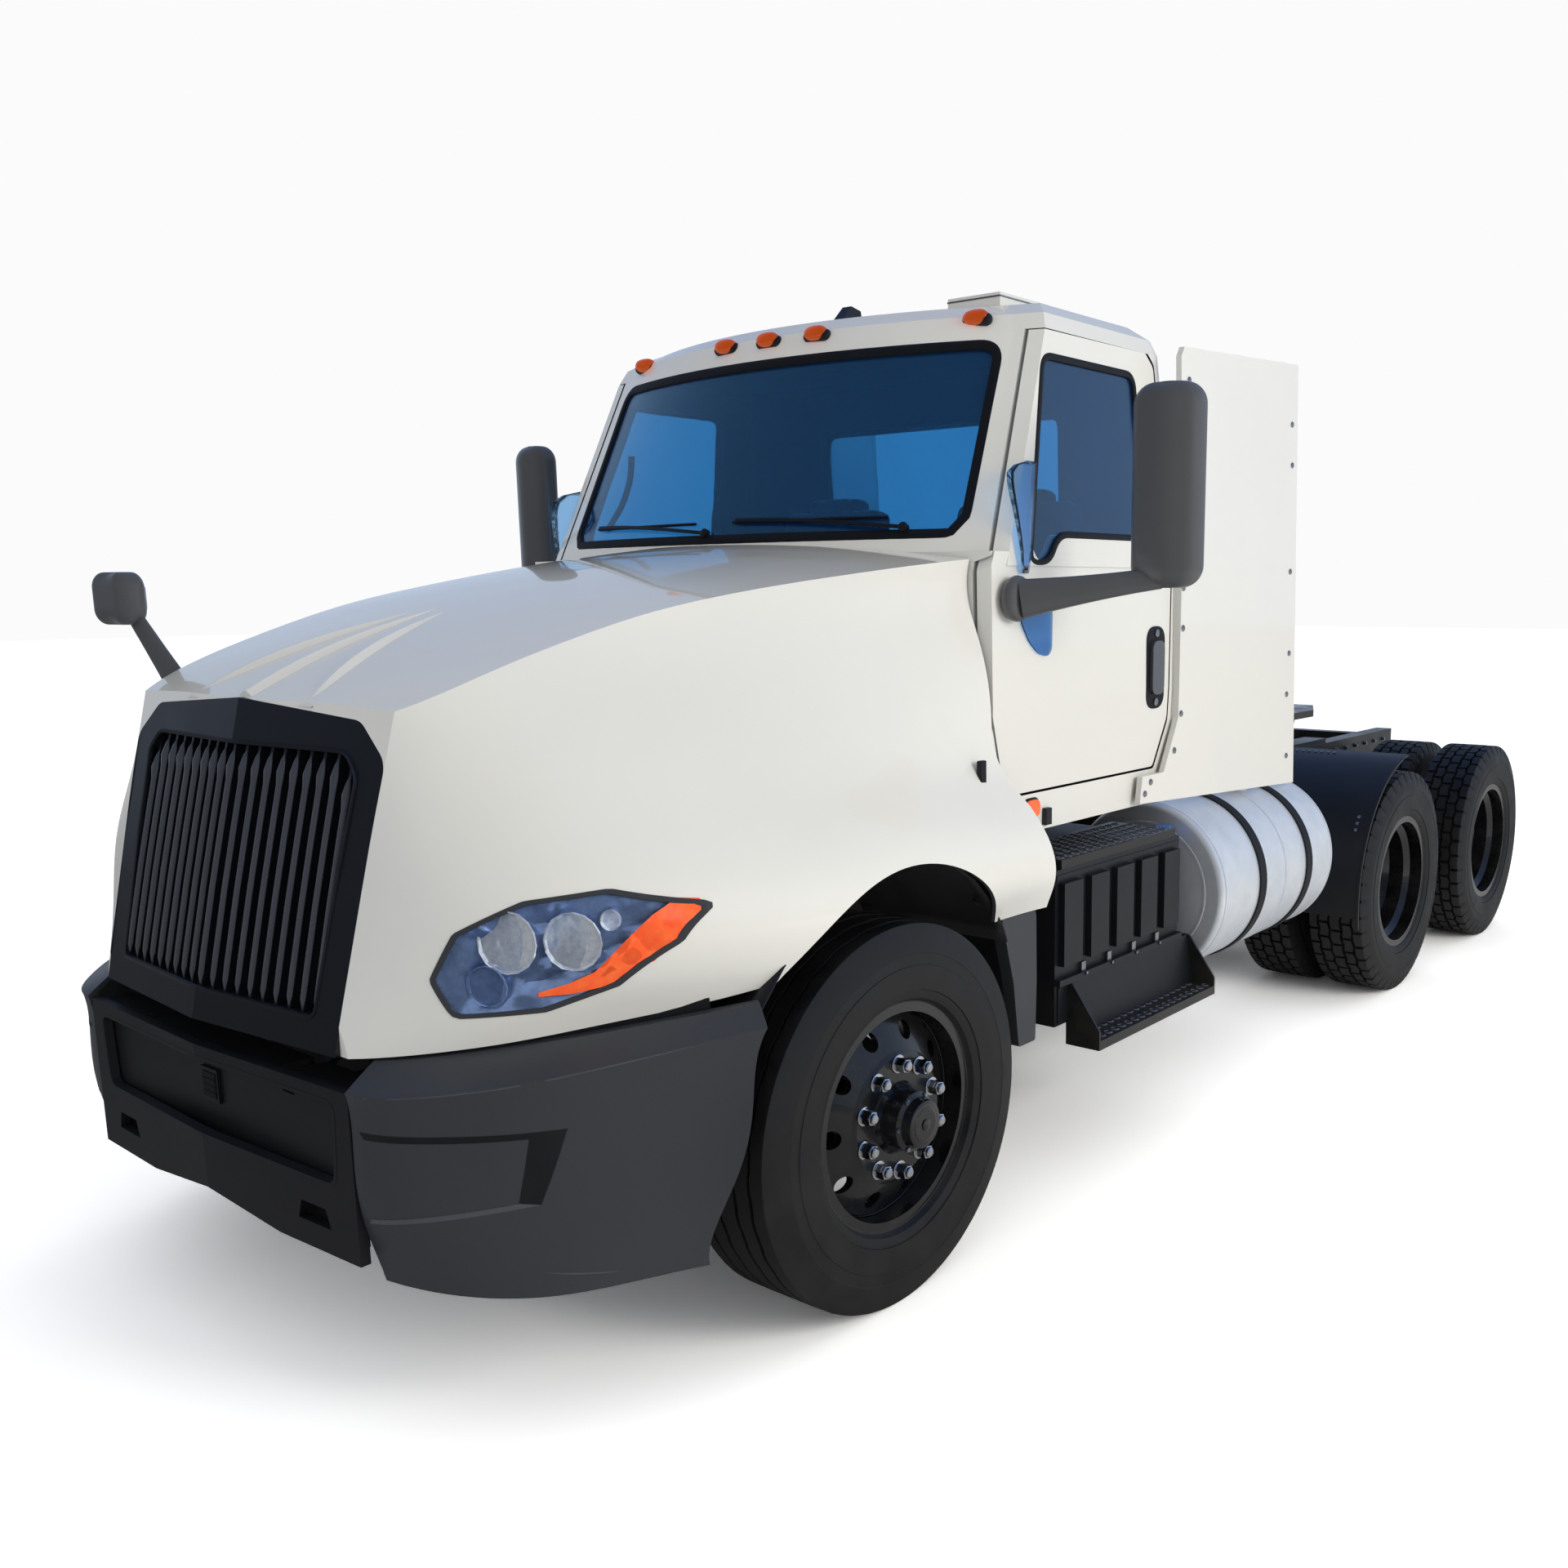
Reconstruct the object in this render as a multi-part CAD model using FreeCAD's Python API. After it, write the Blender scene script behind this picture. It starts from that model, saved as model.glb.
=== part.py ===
import FreeCAD, Part

# Road tractor with a day cab, tandem drive axles and a tilting hood.
# Millimetres. X points to the vehicle's left, Y rearward from the bumper's nose, Z up
# from the ground. The finished pieces are moved so that Y is 0 at half the length.

import functools
import math
import os

from FreeCAD import Vector

os.makedirs("parts", exist_ok=True)

# Driving dimensions of the chassis
overall_length = 6720
front_axle_y = 1190
wheelbase = 4320
tandem_spacing = 1310
rail_half_width = 432
rail_height = 260
rail_flange = 89
rail_web = 9
rail_top = 1020
rail_front_y = 330

# Tyres and wheels
tyre_radius = 505.5
steer_tyre_width = 290
dual_tyre_width = 275
dual_spacing = 343
dual_outer_face_x = 1203
steer_outer_face_x = 1205
rim_radius = 286
rim_flange_radius = 303
rim_width = 232
rim_lip = 7

# Steering
kingpin_x = 900
kingpin_radius = 24
steer_arm_length = 190
steer_arm_z = 400
tie_rod_radius = 22

# Cab
cab_half_width = 1030
cab_sill_z = 1115
cab_floor_z = 1160
cab_front_y = 1806
cab_rear_y = 2940
cab_wall = 55
cowl_z = 1945
header_z = 2600
roof_z = 2715
cowl_bow = 92
screen_base_y = 1860
screen_base_bow = 150
header_bow = 165
header_half_width = 955
header_front_y = 2160
glass_thickness = 8
glass_inset = 6

# Doors
door_gap = 8
door_front_y = 1812
door_bottom_z = 1240
door_rear_y = 2868
hinge_x = 1046
hinge_y = 1800

# Hood
hood_thickness = 12
hood_pivot_y = 100
hood_pivot_z = 700
hood_rear_y = 1800
arch_radius = 515
arch_drop = 648

# Fifth wheel
fifth_wheel_y = 5310
fifth_wheel_top_z = 1215
fifth_wheel_pivot_z = 1130
kingpin_bore_radius = 25.6
kingpin_bore_length = 50

# Distances that seat one piece on another
seat_gap = 0.3

tandem_y = front_axle_y + wheelbase
drive_axle_ys = (tandem_y - tandem_spacing / 2, tandem_y + tandem_spacing / 2)
rail_bottom = rail_top - rail_height
steer_mid_x = steer_outer_face_x - steer_tyre_width / 2
dual_outer_x = dual_outer_face_x - dual_tyre_width / 2
dual_inner_x = dual_outer_x - dual_spacing
ORIGIN = Vector(0, 0, 0)
X_AXIS = Vector(1, 0, 0)
Z_AXIS = Vector(0, 0, 1)

pieces = {}


# Small shapes that the pieces are made of

def block(x, y, z):
    """Box between the low and high value of each axis."""
    return Part.makeBox(x[1] - x[0], y[1] - y[0], z[1] - z[0], Vector(x[0], y[0], z[0]))


def rod(start, end, radius):
    """Round bar between two points."""
    start = Vector(*start)
    axis = Vector(*end) - start
    return Part.makeCylinder(radius, axis.Length, start, axis)


def tube(start, end, radius, wall):
    """Round bar with a bore."""
    return rod(start, end, radius).cut(rod(start, end, radius - wall))


def rounded_wire(points, radius):
    """Closed wire through the points, each corner rounded."""
    count = len(points)
    radii = radius if isinstance(radius, (list, tuple)) else [radius] * count
    edges = []
    previous_end = None
    first_start = None
    for index, corner in enumerate(points):
        before = (points[index - 1] - corner).normalize()
        after = (points[(index + 1) % count] - corner).normalize()
        if radii[index] <= 0:
            start, end = corner, corner
        else:
            half = before.getAngle(after) / 2
            reach = radii[index] / math.tan(half)
            middle = (before + after).normalize()
            centre = corner + middle * (radii[index] / math.sin(half))
            start, end = corner + before * reach, corner + after * reach
        if previous_end is not None:
            edges.append(Part.makeLine(previous_end, start))
        if radii[index] > 0:
            edges.append(Part.Arc(start, centre - middle * radii[index], end).toShape())
        first_start = start if first_start is None else first_start
        previous_end = end
    edges.append(Part.makeLine(previous_end, first_start))
    return Part.Wire(edges)


def side_prism(points, x, radius=0):
    """Outline in (y, z), from the low to the high x."""
    wire = rounded_wire([Vector(x[0], y, z) for y, z in points], radius)
    return Part.Face(wire).extrude(Vector(x[1] - x[0], 0, 0))


def plan_prism(points, z, radius=0):
    """Outline in (x, y), from the low to the high z."""
    wire = rounded_wire([Vector(x, y, z[0]) for x, y in points], radius)
    return Part.Face(wire).extrude(Vector(0, 0, z[1] - z[0]))


def front_prism(points, y, radius=0):
    """Outline in (x, z), from the low to the high y."""
    wire = rounded_wire([Vector(x, y[0], z) for x, z in points], radius)
    return Part.Face(wire).extrude(Vector(0, y[1] - y[0], 0))


def mirrored(shape):
    """The same shape on the other side of the centre plane."""
    return shape.mirror(ORIGIN, X_AXIS)


def cushioned(points, z, radius, edge):
    """Outline in (x, y) from the low to the high z, its two ends rounded over."""
    mid_x = sum(x for x, y in points) / len(points)
    mid_y = sum(y for x, y in points) / len(points)
    reach = min(math.hypot(x - mid_x, y - mid_y) for x, y in points)
    sections = []
    for level, inset in ((z[0], edge), (z[0] + edge * 0.3, edge * 0.35), (z[0] + edge, 0),
                         (z[1] - edge, 0), (z[1] - edge * 0.3, edge * 0.35), (z[1], edge)):
        part = 1 - inset / reach
        outline = [Vector(mid_x + (x - mid_x) * part, mid_y + (y - mid_y) * part, level) for x, y in points]
        sections.append(rounded_wire(outline, radius * part))
    return Part.makeLoft(sections, True, True)


def taper(start, end, radius, end_radius):
    """Round bar that changes its radius from one end to the other."""
    start = Vector(*start)
    axis = Vector(*end) - start
    return Part.makeCone(radius, end_radius, axis.Length, start, axis)


def both(shape):
    """A shape and its mirror image."""
    return Part.makeCompound([shape, mirrored(shape)])


def fused(shapes):
    """One solid from touching or overlapping shapes."""
    shapes = list(shapes)
    return shapes[0].fuse(shapes[1:]).removeSplitter()


def moved(shape, x=0, y=0, z=0):
    """A copy that is shifted."""
    copy = shape.copy()
    copy.translate(Vector(x, y, z))
    return copy


def turned(shape, centre, axis, angle):
    """A copy that is turned about a point."""
    copy = shape.copy()
    copy.rotate(Vector(*centre), axis, angle)
    return copy


def spun(points, x=0, y=0, z=0):
    """Outline in (x, radius), turned about an axis along X through (y, z)."""
    wire = Part.makePolygon([Vector(px, 0, pr) for px, pr in points + points[:1]])
    ring = Part.Face(wire).revolve(ORIGIN, X_AXIS, 360)
    return moved(ring, x, y, z)


def smooth(points):
    """Smooth edge through points in space."""
    curve = Part.BSplineCurve()
    curve.interpolate([Vector(*point) for point in points])
    return curve.toShape()


def inset_points(points, distance):
    """Points in plan moved to the inside of a curve that runs rearward on the left."""
    result = []
    for index, (x, y) in enumerate(points):
        before = points[max(index - 1, 0)]
        after = points[min(index + 1, len(points) - 1)]
        dx, dy = after[0] - before[0], after[1] - before[1]
        length = math.hypot(dx, dy)
        result.append((x - distance * dy / length, y + distance * dx / length))
    return result


# Wheels

tyre_sides = 28


def faceted_ring(points, sides):
    """Outline in (x, radius) turned about X in flat facets, one corner straight down."""
    rings = []
    for index in range(sides):
        angle = 2 * math.pi * index / sides - math.pi / 2
        rings.append([Vector(x, r * math.cos(angle), r * math.sin(angle)) for x, r in points])
    faces = []
    for index in range(sides):
        here, after = rings[index], rings[(index + 1) % sides]
        for low in range(len(points)):
            high = (low + 1) % len(points)
            corners = [here[low], here[high], after[high], after[low], here[low]]
            faces.append(Part.Face(Part.makePolygon(corners)))
    ring = Part.makeSolid(Part.makeShell(faces))
    if ring.Volume < 0:
        ring.reverse()
    return ring


def tyre(width):
    """Tyre about X with its middle at the origin. Its tread is left to the finish."""
    half = width / 2
    flat = math.cos(math.pi / tyre_sides)
    bead = rim_width / 2 - rim_lip - seat_gap
    seat = (rim_radius + seat_gap) / flat
    flange = (rim_flange_radius + seat_gap) / flat
    wall = [(half - 20, tyre_radius), (half, tyre_radius - 70), (half - 6, tyre_radius - 165),
            (bead, flange), (bead, seat)]
    return faceted_ring(wall + [(-x, r) for x, r in reversed(wall)], tyre_sides)


def rim_barrel():
    """Rim with its two flanges, middle at the origin."""
    half = rim_width / 2
    seat = rim_radius
    outside = [(half - 80, seat - 28), (half - 60, seat - 4), (half - rim_lip, seat),
               (half - rim_lip, rim_flange_radius), (half, rim_flange_radius), (half, seat - 12),
               (half - 55, seat - 16), (half - 78, seat - 40)]
    return spun(outside + [(-x, r) for x, r in reversed(outside)])


def ring_of(shape, count, y, z, start=0):
    """Copies of a shape about an axis along X."""
    return [turned(shape, (0, y, z), X_AXIS, start + 360 * index / count)
            for index in range(count)]


disc_thickness = 12
disc_outer_radius = 250
steer_disc_edge = 266
disc_inner_radius = 175
hub_bore_radius = 110
steer_disc_x = 118
hand_hole_radius = 24
hand_hole_count = 10
hand_hole_circle = 222


def steer_wheel():
    """Steer wheel: rim, outward dished disc with hand holes, and hub, middle at the origin."""
    face = steer_disc_x
    disc = spun([(62, steer_disc_edge), (face - 8, disc_inner_radius), (face, disc_inner_radius - 12),
                 (face, hub_bore_radius - 20), (face - disc_thickness, hub_bore_radius - 20),
                 (face - disc_thickness, disc_inner_radius - 18),
                 (face - disc_thickness - 14, disc_inner_radius - 10), (46, steer_disc_edge - 8)])
    hole = rod((0, hand_hole_circle, 0), (face + 40, hand_hole_circle, 0), hand_hole_radius)
    disc = disc.cut(Part.makeCompound(ring_of(hole, hand_hole_count, 0, 0)))
    hub = spun([(-60, 0), (-60, 95), (face, 95), (face + 12, 88), (face + 30, 84), (face + 55, 78),
                (face + 62, 66), (face + 84, 60), (face + 90, 40), (face + 90, 0)])
    return fused([rim_barrel(), disc, hub])


def dual_wheel():
    """Two drive rims with deep discs bolted face to face on one hub, middle of the pair at 0."""
    out = dual_spacing / 2
    outer = spun([(disc_thickness, hub_bore_radius - 20), (disc_thickness, disc_inner_radius),
                  (out - 40, disc_outer_radius), (out - 24, disc_outer_radius),
                  (disc_thickness * 2, disc_inner_radius - 10), (disc_thickness * 2, hub_bore_radius - 20)])
    plate = spun([(0, hub_bore_radius - 20), (0, disc_inner_radius), (disc_thickness, disc_inner_radius),
                  (disc_thickness, hub_bore_radius - 20)])
    outer = fused([outer, plate])
    inner = outer.mirror(ORIGIN, X_AXIS)
    drum = spun([(-50, 80), (-50, 205), (-185, 205), (-185, 192), (-64, 192), (-64, 96), (-58, 80)])
    hub = spun([(-60, 0), (-60, 92), (24, 92), (36, 84), (86, 80), (98, 72), (104, 0)])
    return fused([moved(rim_barrel(), out), moved(rim_barrel(), -out), outer, inner, hub, drum])


def make_wheels():
    """Steer wheels and the four pairs of drive wheels."""
    wheel = steer_wheel()
    rubber = tyre(steer_tyre_width)
    pair = dual_wheel()
    outer_rubber = tyre(dual_tyre_width)
    dual_mid = (dual_outer_x + dual_inner_x) / 2
    for side, name in ((1, "left"), (-1, "right")):
        here = (steer_mid_x, front_axle_y, tyre_radius)
        shapes = [moved(wheel, *here), moved(rubber, *here)]
        if side < 0:
            shapes = [mirrored(shape) for shape in shapes]
        pieces["steer_wheel_" + name] = shapes[0]
        pieces["steer_tyre_" + name] = shapes[1]
        for axle_name, axle_y in zip(("front", "rear"), drive_axle_ys):
            rims = moved(pair, dual_mid, axle_y, tyre_radius)
            tyres = Part.makeCompound([moved(outer_rubber, dual_outer_x, axle_y, tyre_radius),
                                       moved(outer_rubber, dual_inner_x, axle_y, tyre_radius)])
            if side < 0:
                rims, tyres = mirrored(rims), mirrored(tyres)
            pieces["drive_wheels_" + axle_name + "_" + name] = rims
            pieces["drive_tyres_" + axle_name + "_" + name] = tyres


# Chassis

crossmember_ys = (4300, tandem_y, overall_length - 60)


def make_frame():
    """Two channel rails with their crossmembers between the webs."""
    inner = rail_half_width - rail_web
    rail = block((rail_half_width - rail_flange, rail_half_width), (rail_front_y, overall_length),
                 (rail_bottom, rail_top))
    hollow = block((rail_half_width - rail_flange - 1, inner),
                   (rail_front_y - 1, overall_length + 1), (rail_bottom + rail_web, rail_top - rail_web))
    pieces["frame_rails"] = both(rail.cut(hollow))
    members = []
    for y in crossmember_ys:
        body = block((-inner, inner), (y - 40, y + 40), (rail_bottom + 30, rail_top - 30))
        open_back = block((-inner - 1, inner + 1), (y - 30, y + 41), (rail_bottom + 40, rail_top - 40))
        members.append(body.cut(open_back))
    front = block((-inner, inner), (rail_front_y, rail_front_y + 60), (rail_bottom + 10, rail_top - 60))
    members.append(front)
    pieces["crossmembers"] = Part.makeCompound(members)


def make_engine():
    """Engine with its gearbox as plain blocks, and the radiator in front of it."""
    engine = block((-330, 330), (620, 1690), (650, 1560))
    gearbox = block((-230, 230), (1690, 2560), (620, 1020))
    web = rail_half_width - rail_web - seat_gap
    mounts = [block((-web, web), (880, 1000), (800, 900)), block((-web, web), (2360, 2460), (800, 900))]
    pieces["engine_block"] = fused([engine, gearbox] + mounts)
    core = block((-420, 420), (440, 560), (rail_top + seat_gap, 1520))
    pieces["radiator"] = core


def make_front_axle():
    """Drop-centre axle beam with kingpin eyes, and its leaf springs."""
    y = front_axle_y
    eye_z = tyre_radius
    beam = front_prism([(-820, 560), (-640, 560), (-500, 480), (500, 480), (640, 560), (820, 560),
                        (820, 450), (620, 430), (480, 385), (-480, 385), (-620, 430), (-820, 450)],
                       (y - 48, y + 48), 20)
    notch = front_prism([(-700, 535), (-620, 535), (-490, 460), (490, 460), (620, 535), (700, 535),
                         (700, 478), (600, 455), (470, 408), (-470, 408), (-600, 455), (-700, 478)],
                        (y + 16, y + 60))
    beam = beam.cut([notch, turned(notch, (0, y, 0), Z_AXIS, 180)])
    eyes = [rod((s * kingpin_x, y, 450), (s * kingpin_x, y, 560), 55) for s in (1, -1)]
    necks = [block(sorted((s * 800, s * 880)), (y - 42, y + 42), (460, 550)) for s in (1, -1)]
    beam = fused([beam] + eyes + necks)
    beam = beam.cut([rod((s * kingpin_x, y, 400), (s * kingpin_x, y, 620), kingpin_radius + seat_gap)
                     for s in (1, -1)])
    pieces["front_axle"] = beam
    mid = rail_half_width - rail_flange / 2
    half = 45
    leaves = []
    for index, reach in enumerate((760, 620, 430)):
        low = 480 + 16 * (2 - index)
        leaves.append(block((mid - half, mid + half), (y - reach, y + reach), (low, low + 16)))
    pack = fused(leaves)
    across = (mid - half, mid + half)
    hanger_front = side_prism([(y - 790, 470), (y - 700, 470), (y - 660, rail_bottom), (y - 800, rail_bottom)],
                              across)
    hanger_rear = side_prism([(y + 700, 470), (y + 790, 470), (y + 800, rail_bottom), (y + 660, rail_bottom)],
                             across)
    pieces["front_springs"] = both(fused([pack, hanger_front, hanger_rear]))


def knuckle():
    """Left steering knuckle with kingpin, spindle and arm."""
    y = front_axle_y
    pin = rod((kingpin_x, y, 400), (kingpin_x, y, 611), kingpin_radius)
    top = rod((kingpin_x, y, 566), (kingpin_x, y, 615), 52)
    low = rod((kingpin_x, y, 395), (kingpin_x, y, 444), 52)
    back = side_prism([(y - 70, 395), (y + 70, 395), (y + 70, 615), (y - 70, 615)],
                      (kingpin_x + 60, kingpin_x + 84), 30)
    lugs = [block((kingpin_x, kingpin_x + 70), (y - 45, y + 45), (566, 615)),
            block((kingpin_x, kingpin_x + 70), (y - 45, y + 45), (395, 444))]
    spindle = rod((kingpin_x + 70, y, tyre_radius), (steer_mid_x - 60 - seat_gap, y, tyre_radius), 45)
    arm_end = y + steer_arm_length
    arm = block((kingpin_x - 25, kingpin_x + 25), (y, arm_end), (steer_arm_z, steer_arm_z + 34))
    boss = rod((kingpin_x, arm_end, steer_arm_z), (kingpin_x, arm_end, steer_arm_z + 34), 34)
    shield = rod((kingpin_x + 76, y, tyre_radius), (kingpin_x + 84, y, tyre_radius), 185)
    return fused([pin, top, low, back, spindle, arm, boss, shield] + lugs)


def make_steering():
    """Knuckles and the tie rod that joins their arms."""
    left = knuckle()
    pieces["knuckle_left"] = left
    pieces["knuckle_right"] = mirrored(left)
    arm_end = front_axle_y + steer_arm_length
    z = steer_arm_z - 30
    bar = rod((-kingpin_x, arm_end, z), (kingpin_x, arm_end, z), tie_rod_radius)
    ends = [rod((s * kingpin_x, arm_end, z - 26), (s * kingpin_x, arm_end, steer_arm_z - seat_gap), 30)
            for s in (1, -1)]
    pieces["tie_rod"] = fused([bar] + ends)


drive_beam_half = 60
spindle_x = (dual_outer_x + dual_inner_x) / 2 - 60 - seat_gap


def make_drive_axles():
    """Two driven axles with round bowls, and the shafts between them."""
    axles = []
    for y in drive_axle_ys:
        z = tyre_radius
        beam = rod((-spindle_x, y, z), (spindle_x, y, z), drive_beam_half)
        bowl = Part.makeSphere(215, Vector(0, y, z))
        bowl = bowl.common(block((-300, 300), (y - 150, y + 170), (z - 230, z + 230)))
        nose = Part.makeCone(130, 70, 220, Vector(0, y - 90, z + 30), Vector(0, -1, 0))
        spiders = [rod((s * 688, y, z), (s * 700, y, z), 165) for s in (1, -1)]
        axles.append(fused([beam, bowl, nose] + spiders))
    pieces["drive_axles"] = Part.makeCompound(axles)
    z = tyre_radius + 30
    front_y = drive_axle_ys[0] - 310 - seat_gap
    drop = 55 * (800 - z) / math.hypot(800 - z, front_y - 2560)
    main = rod((0, 2560 + seat_gap + drop, 800), (0, front_y - drop, z), 55)
    short = rod((0, drive_axle_ys[0] + 170 + seat_gap, z), (0, drive_axle_ys[1] - 310 - seat_gap, z), 50)
    pieces["drive_shafts"] = Part.makeCompound([main, short])


def make_rear_suspension():
    """Trailing arms under the axles with air springs behind them."""
    arms = []
    x = (rail_half_width - 70, rail_half_width + 20)
    for y in drive_axle_ys:
        arm = side_prism([(y - 520, 620), (y - 440, 620), (y + 60, 400), (y + 420, 390),
                          (y + 420, 355), (y - 60, 365), (y - 520, 560)], x, 10)
        hanger = side_prism([(y - 560, 560), (y - 430, 560), (y - 400, rail_bottom),
                             (y - 590, rail_bottom)], x)
        bag = rod((x[0] + 45, y + 330, 390), (x[0] + 45, y + 330, rail_bottom), 85)
        seat = block(x, (y - 70, y + 70), (372, tyre_radius - drive_beam_half + 30))
        seat = seat.cut(rod((0, y, tyre_radius), (700, y, tyre_radius), drive_beam_half + seat_gap))
        arms.append(both(fused([arm, hanger, bag, seat])))
    pieces["rear_suspension"] = Part.makeCompound(arms)


tank_radius = 315
tank_x = 892
tank_z = 765
tank_y = (2965, 3965)
strap_ys = (3290, 3710)
strap_width = 50


def make_tanks():
    """Round fuel tanks, one each side, with straps and brackets on the rails."""
    shell = rod((tank_x, tank_y[0], tank_z), (tank_x, tank_y[1], tank_z), tank_radius)
    shell = shell.makeFillet(22, [edge for edge in shell.Edges if len(edge.Vertexes) == 1])
    cap = rod((tank_x + 60, 3560, tank_z + 290), (tank_x + 78, 3560, tank_z + 368), 46)
    tank = fused([shell, cap])
    pieces["fuel_tank_left"] = tank
    pieces["fuel_tank_right"] = mirrored(tank)
    held = []
    for y in strap_ys:
        low, high = y - strap_width / 2, y + strap_width / 2
        band = tube((tank_x, low, tank_z), (tank_x, high, tank_z), tank_radius + 7, 7 - seat_gap)
        rail_face = rail_half_width + seat_gap
        foot = tank_z - tank_radius - 24
        bracket = front_prism([(rail_face, rail_top - 20), (rail_half_width + 60, rail_top - 20),
                               (tank_x - 250, tank_z + 120), (tank_x - 250, tank_z - 120),
                               (tank_x - 40, foot), (tank_x - 130, foot), (rail_face, rail_bottom - 40)],
                              (low, high))
        bracket = bracket.cut(rod((tank_x, low - 1, tank_z), (tank_x, high + 1, tank_z), tank_radius + 4))
        held.append(fused([band, bracket]))
    pieces["tank_straps"] = both(Part.makeCompound(held))


box_x = (560, 1100)
box_y = (2045, 2830)
box_z = (470, 1000)
step_outer_x = 1222
step_tread_z = (440, 470)


def make_side_boxes():
    """Battery box on the left, exhaust treatment box on the right, with their steps."""
    body = block(box_x, box_y, (box_z[0] + 40, box_z[1]))
    ribs = []
    pitch = (box_y[1] - box_y[0]) / 5.0
    for index in range(5):
        low = box_y[0] + pitch * index + 20
        ribs.append(block((box_x[1] - 2, box_x[1] + 22), (low, low + pitch - 50), (700, 960)))
    ledge = block((box_x[1] - 2, box_x[1] + 20), (box_y[0], box_y[1]), (640, 660))
    hanger = block((rail_half_width + seat_gap, box_x[0] + 2), (box_y[0] + 60, box_y[1] - 60),
                   (rail_bottom, rail_top - 60))
    pieces["battery_box"] = fused([body, hanger, ledge] + ribs)
    right = fused([body, hanger, ledge])
    pieces["exhaust_box"] = mirrored(right)
    tread = block((box_x[1] - 20, step_outer_x), (2120, 2890), step_tread_z)
    upper = block((850, box_x[1]), (2080, 2800), (box_z[1] + seat_gap, box_z[1] + 28))
    sides = []
    for y in (2112, 2882):
        plate = side_plate(y, 8)
        sides.append(plate)
    lower = fused([tread] + sides)
    lower = lower.cut(block((0, box_x[1] + seat_gap), (2000, 2831), (400, 1100)))
    step = Part.makeCompound([lower, upper])
    pieces["cab_steps"] = both(step)
    slim = block((640, 1040), (2838, 2935), (560, 900))
    cap = rod((980, 2886, 899), (980, 2886, 960), 34)
    arm = block((rail_half_width + seat_gap, 642), (2850, 2920), (rail_bottom + 20, 880))
    pieces["fluid_tank"] = fused([slim, cap, arm])


def side_plate(y, thickness):
    """Upright plate at the end of the lower step, with a rounded outer corner."""
    return front_prism([(box_x[1] - 20, step_tread_z[0]), (step_outer_x, step_tread_z[0]),
                        (step_outer_x, 500), (box_x[1] + 20, 640), (box_x[1] - 20, 640)],
                       (y, y + thickness), [0, 0, 20, 20, 0])


def make_rear_deck():
    """Quarter fenders ahead of the tandem and the deck plate behind the cab."""
    y = drive_axle_ys[0]
    radius = tyre_radius + 90
    outer = rod((590, y, tyre_radius), (1205, y, tyre_radius), radius)
    inner = rod((580, y, tyre_radius), (1215, y, tyre_radius), radius - 8)
    window = side_prism([(y - 900, 440), (y - 900, 1400), (y - 20, 1400), (y - 120, tyre_radius),
                         (y - 400, 440)], (580, 1220))
    fender = outer.cut(inner).common(window)
    post = rod((rail_half_width + seat_gap, y - 330, 940), (700, y - 330, 940), 22)
    post = post.fuse(rod((700, y - 330, 940), (700, y - 330, 1010), 20))
    post = post.cut(rod((0, y, tyre_radius), (2000, y, tyre_radius), radius - 4))
    pieces["quarter_fenders"] = both(fused([fender, post]))
    deck = block((-rail_half_width, rail_half_width), (3060, 4150), (rail_top + seat_gap, rail_top + 26))
    pieces["deck_plate"] = deck


def make_fifth_wheel():
    """Fifth wheel: fixed base with ears, and the plate that tilts on them."""
    y = fifth_wheel_y
    z = fifth_wheel_pivot_z
    angle_irons = [block((s * 350 - 60, s * 350 + 60), (y - 480, y + 480), (rail_top + seat_gap, rail_top + 20))
                   for s in (1, -1)]
    ties = [block((-350, 350), (y + offset - 50, y + offset + 50), (rail_top + seat_gap, rail_top + 20))
            for offset in (-250, 250)]
    ears = []
    for s in (1, -1):
        ear = side_prism([(y - 110, rail_top + 18), (y + 110, rail_top + 18), (y + 42, z + 30),
                          (y - 42, z + 30)], (s * 350 - 22, s * 350 + 22), [0, 0, 30, 30])
        ears.append(ear.cut(rod((-600, y, z), (600, y, z), 20 + seat_gap)))
    pieces["fifth_wheel_base"] = fused(angle_irons + ties + ears)
    top = fifth_wheel_top_z
    jaw = kingpin_bore_radius + 60
    plate = plan_prism([(-460, y - 250), (-300, y - 420), (300, y - 420), (460, y - 250), (460, y + 180),
                        (330, y + 480), (200, y + 480), (jaw, y + 160), (-jaw, y + 160),
                        (-200, y + 480), (-330, y + 480), (-460, y + 180)], (top - 34, top), 20)
    lock = rod((0, y, top - kingpin_bore_length), (0, y, top), 90)
    skirt = block((-300, 300), (y - 200, y + 120), (top - kingpin_bore_length, top - 30))
    legs = []
    for s in (1, -1):
        for offset in (-50, 50):
            x = s * 350 + offset
            legs.append(side_prism([(y - 60, top - 30), (y + 60, top - 30), (y + 30, z - 28), (y - 30, z - 28)],
                                   (x - 12, x + 12), [0, 0, 20, 20]))
        legs.append(rod((s * 350 - 66, y, z), (s * 350 + 66, y, z), 20))
    body = fused([plate, lock, skirt] + legs)
    body = body.cut([rod((0, y, top - 200), (0, y, top + 10), kingpin_bore_radius)])
    pieces["fifth_wheel_plate"] = body


# Bumper

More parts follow.
